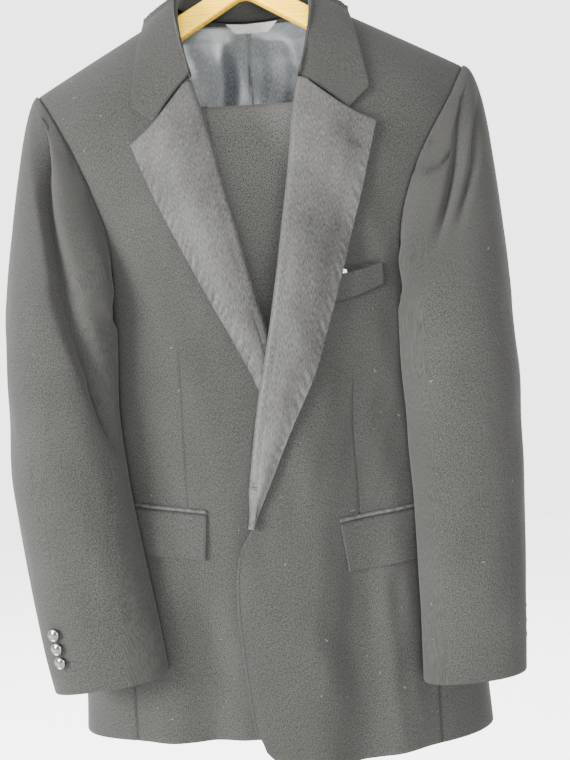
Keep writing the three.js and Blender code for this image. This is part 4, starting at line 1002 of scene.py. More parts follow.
def under_sleeve_grid(half, at, us):
    u, v = np.meshgrid(us, SLEEVE_ROWS)
    start = blend(140, 176, ease(0.3, 1.4, v)) + SEAM_GAP
    end = blend(*half["elbow"], ease(0.9, 2, v)) + 360 - SEAM_GAP
    return at(blend(start, end, u), v), 0


TOP_COLUMNS = np.unique(np.concatenate([
    [0.01, 0.03], np.linspace(0, 1, 24), np.linspace(1, 2, 30), [1.95, 1.985, 2.015, 2.04],
    np.linspace(2, 3, 34), [2.97, 2.99],
]))
sleeve_at = {}
for half in HALVES:
    name, side = half["name"], half["side"]
    at = sleeve_at[name] = sleeve_points(half)
    top = top_sleeve_grid(half, at, TOP_COLUMNS)
    under = under_sleeve_grid(half, at, spread(40))
    for part, (grid, crease) in (("top", top), ("under", under)):
        sew(
            f"{part}_sleeve_{name}_cloth", grid, WALL["wool"], side, WOOL, [f"{part}_sleeve_{name}"],
            sewn="lrt", crease=crease,
        )

# %% [markdown]
# ## Lapels
# A lapel is the front's own upper edge turned back over itself, faced with satin. It starts inside the
# edge, wraps round it in a soft roll without a pressed crease, and lies down towards its outer edge.
# The facing is eased in along that edge, which leaves short slanting puckers. The wrap is one smooth
# curve swept down the front's edge.

# %% Lapels
WRAP = {
    "out": through([(0, 9), (1, 1), (2, -3.4), (3, -4.4), (4, -2.4), (5, 4)]),
    "lift": through([(0, -5.4), (1, -5.2), (2, -2.6), (3, 0.4), (4, 3.8), (5, 5.6)]),
}


def lapel_grid(half, us, vs):
    edge_x, roll = through(half["edge"]), through(half["roll"])
    far_x, far_z = through(half["lapel_x"]), through(half["lapel_z"])
    u, v = np.meshgrid(us, vs)
    z0 = roll(v)
    x0 = edge_x(z0)
    reach = np.hypot(far_x(v) - x0, far_z(v) - z0)
    out = WRAP["out"](np.minimum(u, 5)) * (1 - 0.6 * ease(0.9, 1, v))
    wrap_x = x0 + np.minimum(out, reach * 0.5)
    wrap_z = z0 + out * (far_z(v) - z0) / np.maximum(reach, 30)
    flat = u > 5
    x = np.where(flat, blend(wrap_x, far_x(v), u - 5), wrap_x)
    z = np.where(flat, blend(wrap_z, far_z(v), u - 5), wrap_z)
    share = blend(np.minimum(4 / reach, 0.5), 1, np.clip(u - 5, 0, 1))
    settle = ease(0.35, 1, share) * np.where(half["side"] > 0, 1 - bell(z, -440, 40), 1)
    from_edge = (1 - share) * reach
    uneven = 0.62 + 0.4 * np.sin(v * 31 + 2) * np.sin(v * 73)
    pucker = uneven * np.sin(v * 225 + 1.8 * np.sin(v * 23) + 1.1 * np.sin(v * 57) + from_edge / 3.5)
    pucker = pucker * bell(from_edge, 5.5, 4.5) * ease(0.03, 0.1, v) * (1 - ease(0.8, 0.95, v))
    rounding = 1.2 * (1 - np.exp(-np.maximum(u - 5, 0) * reach / 5)) * (1 - ease(0.8, 1, v))
    full = 0.7 * np.sin(np.pi * share) ** 2 * (1 - ease(0.75, 1, v))
    soft = 0.8 * slow_waves(v * 260, share * 60) * np.sin(np.pi * np.clip(share, 0, 1))
    z = z - np.where(flat, half["gorge"] * np.sin(np.pi * share) * (1 - ease(0, 0.14, v)), 0)
    lift = np.where(flat, 5.6 - 2.6 * settle + pucker + rounding + full + soft, WRAP["lift"](u))
    return on_front(half, half["side"] * x, z, lift)


LAPEL_COLUMNS = np.unique(np.concatenate([np.linspace(0, 5, 21), np.linspace(5, 6, 36), [5.985, 5.995]]))
for half in HALVES:
    name = half["name"]
    sew(
        f"lapel_{name}_cloth", lapel_grid(half, LAPEL_COLUMNS, spread(170)), WALL["satin"], half["side"],
        SATIN_PAINTED_SHEEN,
        [f"lapel_{name}"], sewn="t",
    )

# %% [markdown]
# ## Collar
# The collar is one strip: it is sewn to the neck, stands up, folds over and falls on the shoulders, and
# its two ends meet the lapels at the gorge. Five lines run along it, and a smooth curve through them
# gives each section, so the fold stays soft all the way round.

# %% Collar
COLLAR = {
    "along": (0, 0.16, 0.3, 0.42, 0.56, 0.72, 0.86, 0.88, 0.9, 1),
    "fold_x": (0, 34, 60, 71, 70.5, 68, 62, 61, 60.2, 56),
    "fold_y": (31, 27, 15, 0, -27, -50, -62.5, -64, -64.8, -67.5),
    "fold_z": (-88, -90, -97, -107, -121, -157, -194, -199, -202, -217.5),
    "edge_x": (0, 42, 82, 105, 113, 118.5, 123.5, 123.5, 120, 100),
    "edge_z": (-150, -148, -144, -137, -168, -204, -241.5, -246.5, -249.6, -265),
    "seam_x": (0, 34, 62, 72, 71.5, 69, 64, 63, 62.3, 58.6),
    "seam_y": (33, 29, 17, 2, -23, -46, -57, -58.5, -59, -61),
    "seam_z": (-126.6, -125.6, -122.9, -121.4, -132, -165, -199, -203, -206, -220),
}
collar_line = {key: through(list(zip(COLLAR["along"], COLLAR[key]))) for key in COLLAR if key != "along"}
FALL_LIFT = 4.8


def collar_rows(u):
    """Five points across the collar: seam, inside, top and outside of the fold, edge."""
    t = np.abs(u)
    low = np.where(u > 0, ease(0.66, 1, t), 0)[..., None]
    wide = np.where(u < 0, ease(0.35, 0.7, t), 0)[..., None]
    lower = low * np.array([-4, 0, -6.4]) + wide * np.array([4.5, 0, 0])
    fold = point(*(collar_line[f"fold_{a}"](t) for a in "xyz")) + lower
    seam = point(*(collar_line[f"seam_{a}"](t) for a in "xyz")) + lower
    face = np.where(t < 0.42, 1, -1)
    mirror = np.where(u < 0, -1, 1)
    edge_x = mirror * collar_line["edge_x"](t)
    raised = np.where(u > 0, 5.5 * bell(t, 0.88, 0.12), 0)
    edge_z = np.minimum(collar_line["edge_z"](t) + raised, shoulder_z(edge_x))
    edge = trunk(edge_x, edge_z, face) + trunk_normal(edge_x, edge_z, face) * FALL_LIFT
    edge[..., 0] *= mirror
    away = unit((edge - fold) * np.array([1, 1, 0]))

    def beside(share, drop):
        return fold + away * 2.8 * share - np.array([0, 0, drop])

    return [seam, beside(-0.7, 2.4), beside(0.2, -0.6), beside(1.3, 1.8), edge]


def collar_grid(us, vs):
    u, v = np.meshgrid(us, vs)
    rows = collar_rows(u)
    i = np.clip(np.floor(v), 0, 3).astype(int)
    t = (v - i)[..., None]
    stack = np.stack([rows[0] * 2 - rows[1], *rows, rows[4] * 2 - rows[3]])
    shape = (1, *i.shape, 3)
    a, b, c, d = (
        np.take_along_axis(stack, np.broadcast_to((i + k)[None, ..., None], shape), 0)[0] for k in range(4)
    )
    curved = b + 0.5 * t * (c - a + t * (2 * a - 5 * b + 4 * c - d + t * (3 * (b - c) + d - a)))
    straight = blend(b, c, t)
    p = np.where((i == 3)[..., None], straight, blend(straight, curved, 0.7))
    bow = 2 * np.sin(np.pi * np.clip(v - 3, 0, 1))[..., None]
    p = p + unit((rows[4] - rows[0]) * np.array([1, 1, 0])) * bow
    p[..., 0] *= np.where(u < 0, -1, 1)
    face = np.where(p[..., 1] > RIDGE_Y, 1, -1)
    z = np.minimum(p[..., 2], shoulder_z(p[..., 0]))
    normal = trunk_normal(p[..., 0], z, face)
    short = FALL_LIFT - np.sum((p - trunk(p[..., 0], z, face)) * normal, axis=-1)
    return p + normal * (np.maximum(short, 0) * ease(2, 3, v))[..., None]


COLLAR_ALONG = spread(210, -1, 1, near=(0.002, 0.006))
COLLAR_ACROSS = np.unique(np.concatenate([np.linspace(0, 1, 9), np.linspace(1, 3, 17),
    np.linspace(3, 4, 22), [0.03, 3.97]]))
sew(
    "collar_cloth", collar_grid(COLLAR_ALONG, COLLAR_ACROSS), WALL["collar"], 1, WOOL, ["collar"],
    sewn="lrt",
)

# %% [markdown]
# ## Hip pockets and breast welt
# The hip pockets are slits bound with satin, each under a plain flap, and the breast pocket is a welt
# set at a slant, half under the lapel. All lie on the fronts and follow their folds. A flap's free
# edges turn under, so it is fuller in the middle. The binding puckers a little where
# it is stitched.

# %% Hip pockets and breast welt
FLAP = {"long": 118, "jet": 4.4}


def on_pocket(half, u, down, lift):
    pocket = half["pocket"]
    x = pocket["x"] + u * FLAP["long"]
    z = pocket["z"] + pocket["rise"] * (x - pocket["x"]) - down
    return on_front(half, half["side"] * (x + pocket["lean"] * down), z, lift)


for half in HALVES:
    name, side = half["name"], half["side"]
    u, down = np.meshgrid(spread(60, near=(0.006, 0.014)),
        spread(28, 0.4, half["pocket"]["tall"], near=(0.012, 0.03)))
    full = 0.9 * np.sin(np.pi * u) * np.sin(np.pi * down / half["pocket"]["tall"])
    full = full + 0.9 * np.sin(u * 15 + 1) * ease(4, 40, down)
    sew(
        f"pocket_flap_{name}_cloth", on_pocket(half, u, down, 3.2 + full), WALL["wool"], -side, WOOL,
        [f"pocket_flap_{name}"], sewn="t",
    )
    u, down = np.meshgrid(spread(150, near=(0.004,)), spread(8, -FLAP["jet"], 0, near=(0.06,)))
    wander = u * 62 + 2.1 * np.sin(u * 11) + 1.3 * np.sin(u * 29 + 1)
    puckers = 0.5 * np.sin(wander) * (0.6 + 0.4 * np.sin(u * 17)) * np.sin(-np.pi * down / FLAP["jet"])
    round_over = 0.8 * np.sin(-np.pi * down / FLAP["jet"])
    sew(
        f"pocket_jet_{name}_cloth", on_pocket(half, u, down, 2.4 + puckers + round_over), WALL["satin"],
        -side, SATIN_PAINTED_SHEEN,
        [f"pocket_jet_{name}"], sewn="t",
    )


def on_welt(u, v, lift):
    x = blend(60, 126, u)
    top = -425 - 0.2 * (126 - x) - 2.5 * np.sin(np.pi * u)
    return on_front(LEFT, x, top - v * blend(30, 23, u), lift)


u, v = np.meshgrid(spread(70, near=(0.006, 0.014)), spread(24, near=(0.02, 0.05)))
gape = 3.0 * bell(v, 0, 0.45) * np.sin(np.pi * np.clip(u * 1.05, 0, 1))
sew(
    "breast_pocket_welt_cloth", on_welt(u, v, 2.6 + gape), WALL["wool"], -1, WOOL,
    ["breast_pocket_welt"],
    sewn="rb",
)
u, v = np.meshgrid(np.linspace(0.24, 0.42, 16), np.linspace(-0.17, 0.12, 10))
crumple = 0.5 * np.sin(u * 60 + v * 9) + 0.3 * np.sin(v * 30)
sew(
    "pocket_scrap", on_welt(u, v + 0.03 * np.sin(u * 50), 1.15 + crumple * 0.3), 0.5, -1, SCRAP,
)

# %% [markdown]
# ## Lining and label
# Inside the neck the back's lining shows: thin satin, a little longer than the cloth so that it never
# pulls, which is why it hangs in soft U-shaped folds to one side of its centre seam. The woven label
# is sewn over its top edge. Here it is bare.

# %% Lining and label
def lining_point(u, v):
    z = blend(-330, -131, v)
    x = blend(-1, 1, u) * np.minimum(100, shoulder_x(z) - 22)
    drape = 1 - ease(0.8, 1, v)
    swag = 3.2 * np.cos((x + 8 + 0.18 * (z + 131)) / 10) * bell(x, -36, 32) * bell(z, -185, 45)
    folds = 3 * np.cos((x + 8) / 11) * bell(x, -38, 34) + 2.2 * np.cos(x / 16)
    fine = 0.5 * np.sin(x / 4.3 + np.sin(z / 23) * 1.4) + 0.35 * np.sin(z / 12 + x / 15)
    p = trunk(x, z, 1) - trunk_normal(x, z, 1) * blend(3.5, 7.5, drape)[..., None]
    p[..., 1] -= (folds * 0.75 + swag * 0.9 + fine) * drape
    return p, x, z


u, v = np.meshgrid(spread(120), 1 - spread(90))
grid, x, z = lining_point(u, v)
# painted shade along the lining's centre seam, which sew also dents a little
centre_seam = bell(x, 0.9 * np.sin(z / 30), 1.3)
sew(
    "back_lining_cloth", grid, WALL["lining"], -1, LINING, ["back_lining"], sewn="t",
    crease=centre_seam,
)

u, v = np.meshgrid(spread(40, near=(0.01,)), 1 - spread(14, near=(0.03,)))
wide = blend(38, 59, v)
x, z = 5 + (u - 0.5) * wide, -130 - 10 * (1 - v)
grid = trunk(x, z, 1) - np.array([0, 1, 0]) * (4.6 + 0.25 * np.sin(u * 14))[..., None]
sew("neck_label_cloth", grid, 0.9, -1, LABEL, ["neck_label"])

# %% [markdown]
# ## Trousers over the bar
# The trousers are folded along their creases, one leg on the other, and hung over the bar at the
# thigh. The hems are in front and the waist is behind. A folded leg is two layers that share one
# section with rounded edges, swept down the front, over the bar and down the back.

# %% Strips of folded cloth
BAR = {"radius": 4.5, "z": -246.5, "seat": 204, "deep": 10}


def folded_strip(name, path, near, far, low, high, finish, nodes, rests_on, across=60, sway=0.5):
    """A folded strip along (angle, height) places round the bar, between two distances from its axis."""
    angle, z = np.array(path, float).T
    middle, thick = (near + far) / 2, (far - near) / 2
    edge_turn = np.linspace(90, -90, 9)[1:-1]
    flat = np.linspace(-1, 1, across)
    side = np.concatenate([flat, np.ones(7), flat[::-1], -np.ones(7)])
    turn = radians(np.concatenate([np.full(across, 90), edge_turn, np.full(across, -90), edge_turn - 180]))
    x = (low + high)[:, None] / 2 + side * ((high - low)[:, None] / 2 - thick) + thick * np.cos(turn)
    drop = np.abs(z - BAR["z"])[:, None]
    wave = sway * np.sin(x / 19 + drop / 120) * np.minimum(drop / 90, 1)
    r = middle + thick * np.sin(turn) * (1 - 0.3 * bell(np.abs(side), 1, 0.02)) + wave
    turned = radians(angle)[:, None]
    rings = point(x, r * np.cos(turned), z[:, None] + r * np.sin(turned))
    rows, around = x.shape
    number = np.arange(rows * around).reshape(rows, around)
    after = np.roll(number, -1, axis=1)
    sides = np.stack([number[:-1], after[:-1], after[1:], number[1:]], -1).reshape(-1, 4)
    points = rings.reshape(-1, 3)
    made = mesh_object(name, points, [*sides.tolist(), number[0][::-1].tolist(), number[-1].tolist()], finish)
    threads = np.stack([lengths(rings, 1), lengths(rings, 0)], -1).reshape(-1, 2) * 0.001
    # painted shade along the two edges of narrow strips, the stripe, through the seam attribute
    mark(made, threads, np.tile(bell(np.abs(side), 1, 0.06), rows) * (across < 30))
    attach(made, "root")
    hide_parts(*nodes)
    wide, long = (high - low) / 1000, lengths(rings, 0)[-1].max() / 1000
    wide.mean() * long
    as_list(rests_on)
    print(f"{name}: {wide.max():.3f} x {long:.3f} m, {2 * len(sides)} triangles")
    return made


# %% Trousers
TROUSERS = {"hem": -752, "back_end": -782, "leg": 4, "between": 0.5}
TROUSER_LOW = through([(0, -165), (0.5, -170), (1, -172)])
TROUSER_HIGH = through([(0, 60), (0.5, 68), (1, 105)])


def bar_path(hem, back_end):
    path = [(180, z) for z in np.linspace(hem, BAR["z"], 64)]
    path += [(angle, BAR["z"]) for angle in range(174, 3, -6)]
    return path + [(0, z) for z in np.linspace(BAR["z"], back_end, 64)]


near_inner = BAR["radius"] + TROUSERS["between"]
near_outer = near_inner + TROUSERS["leg"] + TROUSERS["between"]
outermost = near_outer + TROUSERS["leg"]
for name, near, shift, hem, rests_on in (
    ("trouser_leg_right", near_inner, 4, TROUSERS["hem"] + 8, ["hanger_bar"]),
    ("trouser_leg_left", near_outer, 0, TROUSERS["hem"], ["trouser_leg_right_cloth"]),
):
    path = bar_path(hem, TROUSERS["back_end"])
    share = np.linspace(0, 1, len(path))
    folded_strip(
        f"{name}_cloth", path, near, near + TROUSERS["leg"], TROUSER_LOW(share) + shift,
        TROUSER_HIGH(share) + shift,
        TROUSER_WOOL_PAINTED_LIGHTER, [name], rests_on,
    )
path = bar_path(TROUSERS["hem"] + 1, TROUSERS["back_end"] + 1)
whole = np.ones(len(path))
folded_strip(
    "trouser_stripe_cloth", path, outermost + 0.4, outermost + 1.3, -69 * whole, -49 * whole, STRIPE_PAINTED_SHEEN,
    ["trouser_stripe"], ["trouser_leg_left_cloth"], across=20,
)
path = [(0, z) for z in np.linspace(TROUSERS["back_end"] - 0.4, TROUSERS["back_end"] - 38.4, 16)]
whole = np.ones(len(path))
folded_strip(
    "trouser_waistband_cloth", path, near_inner, outermost, -175 * whole, 111 * whole, TROUSER_WOOL_PAINTED_LIGHTER,
    ["trouser_waistband"], ["trouser_leg_left_cloth"], sway=0,
)

# %% [markdown]
# ## Hanger
# The hanger's arms are sawn from one board and rounded over at the edges, so a flat outline with a
# bevel is how it is really shaped. A filled 2-D curve does that. The bar sits in two blind sockets,
# and the hook is a wire screwed in at the neck.

# %% Hanger
HANGER = {"thick": 13, "tip_x": 222, "top": -74, "slope": 0.594, "under": -112.5, "clear": 3.9, "foot": -263}


def plain_mesh(made, name, finish, sharp=40):
    """The evaluated object as a mesh of its own, with doubles merged and its normals pointing out."""
    mesh = bpy.data.meshes.new_from_object(made.evaluated_get(bpy.context.evaluated_depsgraph_get()))
    mesh.transform(made.matrix_world)
    bpy.data.objects.remove(made)
    sheet = bmesh.new()
    sheet.from_mesh(mesh)
    bmesh.ops.remove_doubles(sheet, verts=sheet.verts, dist=1e-6)
    bmesh.ops.recalc_face_normals(sheet, faces=sheet.faces)
    sheet.to_mesh(mesh)
    sheet.free()
    mesh.materials.clear()
    mesh.materials.append(finish)
    mesh.shade_smooth()
    mesh.set_sharp_from_angle(angle=math.radians(sharp))
    plain = bpy.data.objects.new(name, mesh)
    bpy.context.scene.collection.objects.link(plain)
    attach(plain, "root")
    return plain


def curve_object(name, kind, points, closed=False, **settings):
    curve = bpy.data.curves.new(name, "CURVE")
    curve.dimensions = kind
    spline = curve.splines.new("POLY")
    spline.points.add(len(points) - 1)
    for spot, place in zip(spline.points, points):
        spot.co = (*(value * 0.001 for value in place), 1)
    spline.use_cyclic_u = closed
    for key, value in settings.items():
        setattr(curve, key, value)
    made = bpy.data.objects.new(name, curve)
    bpy.context.scene.collection.objects.link(made)
    return made


def rounded(points, times=3):
    """Corners cut again and again until an outline is smooth."""
    points = np.array(points, float)
    for _ in range(times):
        after = np.roll(points, -1, axis=0)
        points = np.stack([points * 0.75 + after * 0.25, points * 0.25 + after * 0.75], 1).reshape(-1, 2)
    return points


def arm_outline():
    def top(x):
        return float(shoulder_z(-x)) - HANGER["clear"]

    def under(x):
        return HANGER["under"] - HANGER["slope"] * x

    tip, foot, seat = HANGER["tip_x"], HANGER["foot"], BAR["seat"]
    half = [
        (11, HANGER["top"]), (16, HANGER["top"] - 5), (34, top(34) - 4), (60, top(60) - 4), (84, top(84) - 4),
        (100, top(100)), (140, top(140)), (178, top(178)), (tip - 10, top(tip - 10) - 1.5),
        (tip, top(tip) - 8),
        (tip, foot + 14), (tip, foot + 1), (tip - 6, foot), (seat - 2, foot), (seat - 12, foot + 10),
        (seat - 26, under(seat - 26)), (100, under(100)), (40, under(40)), (14, under(14)), (5, under(5)),
    ]
    return half + [(-x, z) for x, z in reversed(half)]


arms = curve_object(
    "arms outline", "2D", [(x, z, 0) for x, z in rounded(arm_outline())], closed=True, fill_mode="BOTH",
    extrude=(HANGER["thick"] / 2 - 3) / 1000, bevel_depth=0.003, bevel_resolution=4, offset=-0.003,
)
arms.rotation_euler = (math.radians(90), 0, 0)
bpy.context.view_layer.update()
arms = plain_mesh(arms, "hanger_arms_wood", WOOD)
for side in (1, -1):
    bpy.ops.mesh.primitive_cylinder_add(
        vertices=40, radius=(BAR["radius"] + 0.3) / 1000, depth=0.04, rotation=(0, math.radians(90), 0),
        location=(side * (BAR["seat"] + BAR["deep"] - 19.7) / 1000, 0, BAR["z"] / 1000),
    )
    drill = bpy.context.object
    socket = arms.modifiers.new("socket", "BOOLEAN")
    socket.object = drill
    socket.operation = "DIFFERENCE"
    mesh = bpy.data.meshes.new_from_object(arms.evaluated_get(bpy.context.evaluated_depsgraph_get()))
    arms.modifiers.clear()
    arms.data = mesh
    bpy.data.objects.remove(drill)
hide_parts("hanger_arms")

end = BAR["seat"] + BAR["deep"]
radius = BAR["radius"]
bar_line = [(x, 0, BAR["z"]) for x in (-end, -end + 0.6, -end + 1.6, -120, 0, 120, end - 1.6, end - 0.6, end)]
bar = curve_object("bar line", "3D", bar_line, bevel_depth=radius / 1000, bevel_resolution=8,
    use_fill_caps=True)
for spot, share in zip(bar.data.splines[0].points, (0.86, 0.95, 1, 1, 1, 1, 1, 0.95, 0.86)):
    spot.radius = share
bar = plain_mesh(bar, "hanger_bar_wood", WOOD)
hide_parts("hanger_bar")

bend = [(26 * math.cos(a), -24 + 26 * math.sin(a)) for a in np.radians(np.linspace(-62, 214, 56))]
stem = [(0, HANGER["top"] - 11), (0, HANGER["top"] - 4), (0.1, -66), (0.8, -61), (2.4, -57), (5, -53),
    (8.6, -50)]
wire = curve_object(
    "hook wire", "3D", [(x, 0, z) for x, z in stem + bend], bevel_depth=0.002, bevel_resolution=6,
    use_fill_caps=True,
)
wire.data.splines[0].points[-1].radius = 0.7
hook = plain_mesh(wire, "hanger_hook_wire", STEEL)
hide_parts("hanger_hook")
print("hanger", [len(o.data.polygons) for o in (arms, bar, hook)], "faces")

# %% [markdown]
# ## Cuff buttons
# Three buttons close each cuff. They are moulded, glossy and domed, with a low rim and a shank behind,
# so a profile turned round an axis gives one, and it is set square to the sleeve's surface.

# %% Cuff buttons
PROFILE = [
    (0, 0), (2, 0), (2, 1.5), (3.2, 1.6), (5.4, 1.75), (6.1, 2.3), (6.3, 2.9), (6.15, 3.5), (5.7, 3.85),
    (5.3, 3.8),
    (4.9, 3.55), (4.4, 3.65), (3.4, 4.15), (2.2, 4.6), (1.1, 4.85), (0.4, 4.95), (0, 4.97),
]


def turned(name, profile, around, place, normal, finish):
    axis = unit(np.cross(normal, [0, 0, 1.0]))
    other = np.cross(normal, axis)
    angles = np.linspace(0, 2 * np.pi, around, endpoint=False)
    rings = [
        place + normal * z + r * (np.cos(angles)[:, None] * axis + np.sin(angles)[:, None] * other)
        for r, z in profile[1:-1]
    ]
    points = np.concatenate([[place + normal * profile[0][1]], *rings, [place + normal * profile[-1][1]]])
    last = len(points) - 1
    faces = []
    for i in range(around):
        j = (i + 1) % around
        faces.append((0, 1 + j, 1 + i))
        faces += [(1 + k * around + i, 1 + k * around + j, 1 + (k + 1) * around + j, 1 + (k + 1) * around + i)
                  for k in range(len(rings) - 1)]
        faces.append((last, last - around + i, last - around + j))
    made = mesh_object(name, points, faces, finish, sharp=35)
    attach(made, "root")
    return made


for half in HALVES:
    name, at = half["name"], sleeve_at[half["name"]]
    angle = float(half["buttons"]["angle"])
    for i, z in enumerate(half["buttons"]["z"]):
        v = 1 + (z - half["head"]) / (half["cuff"] - half["head"])
        around_it = at(angle + np.array([[-1.0, 0, 1], [-1, 0, 1], [-1, 0, 1]]),
            v + np.array([[-0.01] * 3, [0] * 3, [0.01] * 3]))
        normal = facing_normals(around_it, half["side"])[1, 1]
        button = turned(
            f"cuff_button_{name}_{i + 1}_dome", PROFILE, 40, around_it[1, 1] + normal * 0.3, normal, BUTTON,
        )
        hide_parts(f"cuff_button_{name}_{i + 1}")
print("six buttons,", round(2 * PROFILE[6][0], 1), "mm across")

# %% [markdown]
# ## Stitches
# Hand stitches show at the breast pocket's outer end, round the two buttonholes and where the satin
# ends on the closing edge. Each is a short thread lying along a path, so one node tree sets threads
# along any path, and only the path, spacing and length change.

# %% A tree that sews along a path
def tree_with(name, **inputs):
    tree = bpy.data.node_groups.new(name, "GeometryNodeTree")
    tree.interface.new_socket("Geometry", in_out="INPUT", socket_type="NodeSocketGeometry")
    tree.interface.new_socket("Geometry", in_out="OUTPUT", socket_type="NodeSocketGeometry")
    for key, value in inputs.items():
        socket = tree.interface.new_socket(key, in_out="INPUT", socket_type="NodeSocketFloat")
        socket.default_value = value
    return tree, tree.nodes.new("NodeGroupInput"), tree.nodes.new("NodeGroupOutput")


def add_node(tree, kind, settings=None, **sockets):
    made = tree.nodes.new(kind)
    for key, value in (settings or {}).items():
        setattr(made, key, value)
    for key, value in sockets.items():
        socket = made.inputs[key.replace("_", " ")]
        if isinstance(value, bpy.types.NodeSocket):
            tree.links.new(value, socket)
        else:
            socket.default_value = value
    return made


def finished(tree, geometry, out, finish):
    real = add_node(tree, "GeometryNodeRealizeInstances", Geometry=geometry)
    painted = add_node(tree, "GeometryNodeSetMaterial", Geometry=real.outputs[0], Material=finish)
    tree.links.new(painted.outputs[0], out.inputs[0])


def grown(host, tree, name, finish, **values):
    """The tree's result on a host, with its inputs set, as a plain mesh in place of the host."""
    made = host.modifiers.new(name, "NODES")
    made.node_group = tree
    for item in tree.interface.items_tree:
        if item.in_out == "INPUT" and item.name in values:
            made[item.identifier] = values[item.name]
    plain = plain_mesh(host, name, finish, sharp=180)
    print(f"{name}: {len(plain.data.polygons)} faces")
    return plain


sewing, given, out = tree_with("threads along a path", Spacing=0.002, Length=0.0012, Thickness=0.0002)
line = add_node(sewing, "GeometryNodeMeshToCurve", Mesh=given.outputs["Geometry"])
spots = add_node(sewing, "GeometryNodeCurveToPoints", {"mode": "LENGTH"}, Curve=line.outputs[0],
    Length=given.outputs["Spacing"])
thread = add_node(sewing, "GeometryNodeMeshUVSphere", Segments=6, Rings=4, Radius=0.5)
size = add_node(
    sewing, "ShaderNodeCombineXYZ", X=given.outputs["Thickness"], Y=given.outputs["Thickness"],
    Z=given.outputs["Length"],
)
laid = add_node(
    sewing, "GeometryNodeInstanceOnPoints", Points=spots.outputs["Points"], Instance=thread.outputs[0],
    Rotation=spots.outputs["Rotation"], Scale=size.outputs[0],
)
finished(sewing, laid.outputs[0], out, THREAD)


def path_object(name, lines):
    mesh = bpy.data.meshes.new(name)
    points = np.concatenate(lines)
    ends = np.cumsum([len(line) for line in lines])
    edges = [(i, i + 1) for i in range(len(points) - 1) if i + 1 not in ends]
    mesh.from_pydata((points * 0.001).tolist(), edges, [])
    made = bpy.data.objects.new(name, mesh)
    bpy.context.scene.collection.objects.link(made)
    return made


# %% Stitches and buttonholes
def front_line(half, places, lift, count=24):
    places = np.array(places, float)
    t = np.linspace(0, len(places) - 1, count)
    x, z = (np.interp(t, np.arange(len(places)), places[:, k]) for k in (0, 1))
    return on_front(half, x, z, lift)


def eyelet(half, start, end, wide, lift):
    """A narrow loop of places round a buttonhole."""
    (x0, z0), (x1, z1) = start, end
    long = math.hypot(x1 - x0, z1 - z0)
    nx, nz = -(z1 - z0) / long * wide, (x1 - x0) / long * wide
    loop = [(x0 + nx, z0 + nz), (x1 + nx, z1 + nz), (x1, z1), (x1 - nx, z1 - nz), (x0 - nx, z0 - nz),
        (x0, z0), (x0 + nx, z0 + nz)]
    return front_line(half, loop, lift, 60)


welt_end = [(124.2, -425.6), (122.4, -446.8)]
seams = path_object("seam paths", [
    front_line(LEFT, welt_end, 2.9),
    front_line(LEFT, [(-32, -690), (-36, -700), (-39, -712), (-41, -722)], 0.3),
    front_line(LEFT, [(66, -683), (66, -689)], 4.2, 6),
    front_line(LEFT, [(180, -672), (180, -679)], 4.2, 6),
])
grown(seams, sewing, "hand_stitches", THREAD, Spacing=0.0022, Length=0.0013, Thickness=0.0003)
holes = path_object("buttonhole paths", [
    eyelet(LEFT, (92, -297), (109, -306), 1.0, 8.2),
    eyelet(LEFT, (-21, -645), (-11, -647), 1.2, 7.2),
    front_line(LEFT, [(-21, -645), (-24, -641), (-22, -637), (-19, -641), (-21, -645)], 7.4, 30),
    point(np.linspace(-48.4, -42.2, 20), -outermost - 0.7, np.linspace(-250, -322, 20)),
])
grown(holes, sewing, "buttonhole_threads", THREAD, Spacing=0.0005, Length=0.0007, Thickness=0.0005)

# %% [markdown]
# ## Lint
# Black cloth that has hung in a shop gathers pale fibres. They are few, thin and lie anywhere, so
# points are scattered over the wool with a fixed seed and a short bent thread is laid at each.

# %% Lint
scatter, given, out = tree_with("lint", Density=160.0, Length=0.003, Thickness=0.00012)
spots = add_node(
    scatter, "GeometryNodeDistributePointsOnFaces", Mesh=given.outputs["Geometry"],
    Density=given.outputs["Density"], Seed=11,
)
half_long = add_node(scatter, "ShaderNodeMath", {"operation": "MULTIPLY"})
scatter.links.new(given.outputs["Length"], half_long.inputs[0])
half_long.inputs[1].default_value = 0.5
start = add_node(scatter, "ShaderNodeCombineXYZ", X=half_long.outputs[0])
bent = add_node(scatter, "ShaderNodeCombineXYZ", X=0.0002, Y=half_long.outputs[0], Z=0.0002)
stop = add_node(scatter, "ShaderNodeVectorMath", {"operation": "SCALE"}, Vector=start.outputs[0], Scale=-1.0)
fibre = add_node(
    scatter, "GeometryNodeCurveQuadraticBezier", Resolution=5, Start=start.outputs[0],
    Middle=bent.outputs[0], End=stop.outputs[0],
)
ring = add_node(scatter, "GeometryNodeCurvePrimitiveCircle", Resolution=3, Radius=given.outputs["Thickness"])
tube = add_node(scatter, "GeometryNodeCurveToMesh", Curve=fibre.outputs[0], Profile_Curve=ring.outputs[0],
    Fill_Caps=True)
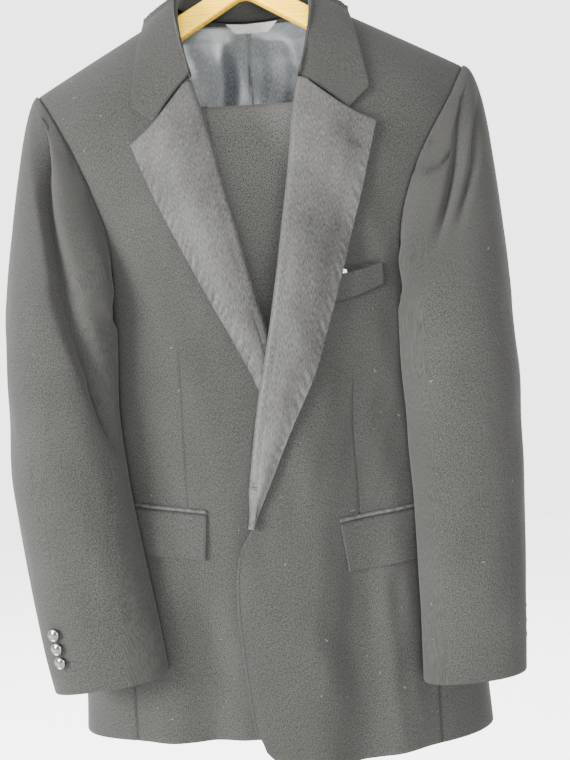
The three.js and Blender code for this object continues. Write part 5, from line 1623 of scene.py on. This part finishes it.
turn = add_node(scatter, "FunctionNodeRandomValue", {"data_type": "FLOAT"}, Seed=3)
turn.inputs[3].default_value = 6.283
spin = add_node(scatter, "ShaderNodeCombineXYZ", Z=turn.outputs[1])
facing = add_node(scatter, "FunctionNodeRotateRotation", {"rotation_space": "LOCAL"},
    Rotation=spots.outputs["Rotation"])
scatter.links.new(spin.outputs[0], facing.inputs[1])
grow = add_node(scatter, "FunctionNodeRandomValue", {"data_type": "FLOAT"}, Seed=5)
grow.inputs[2].default_value = 0.4
grow.inputs[3].default_value = 1.5
laid = add_node(
    scatter, "GeometryNodeInstanceOnPoints", Points=spots.outputs["Points"], Instance=tube.outputs[0],
    Rotation=facing.outputs[0], Scale=grow.outputs[1],
)
finished(scatter, laid.outputs[0], out, LINT)


def lint_host(name):
    """One open mesh over the outside of the wool that faces the front."""
    coarse = []
    for half in HALVES:
        front, _, _ = front_grid(half, np.linspace(0, 2, 24), np.linspace(0.05, 1.98, 50))
        u, v = np.meshgrid(np.linspace(10, 150, 16), np.linspace(0.3, 1.98, 40))
        coarse += [(front, -half["side"]), (sleeve_at[half["name"]](u, v), half["side"])]
    points, faces, first = [], [], 0
    for grid, facing in coarse:
        rows, columns = grid.shape[:2]
        number = first + np.arange(rows * columns).reshape(rows, columns)
        quads = np.stack([number[:-1, :-1], number[:-1, 1:], number[1:, 1:], number[1:, :-1]],
            -1).reshape(-1, 4)
        points.append((grid + facing_normals(grid, facing) * 0.25).reshape(-1, 3))
        faces += quads[:, ::facing].tolist() if facing > 0 else quads[:, ::-1].tolist()
        first += rows * columns
    mesh = bpy.data.meshes.new(name)
    mesh.from_pydata((np.concatenate(points) * 0.001).tolist(), [], faces)
    made = bpy.data.objects.new(name, mesh)
    bpy.context.scene.collection.objects.link(made)
    return made


grown(lint_host("lint host"), scatter, "lint_fibres", LINT, Density=110.0, Length=0.003, Thickness=0.00006)
grown(lint_host("speck host"), scatter, "lint_specks", LINT, Density=420.0, Length=0.0005, Thickness=0.0001)
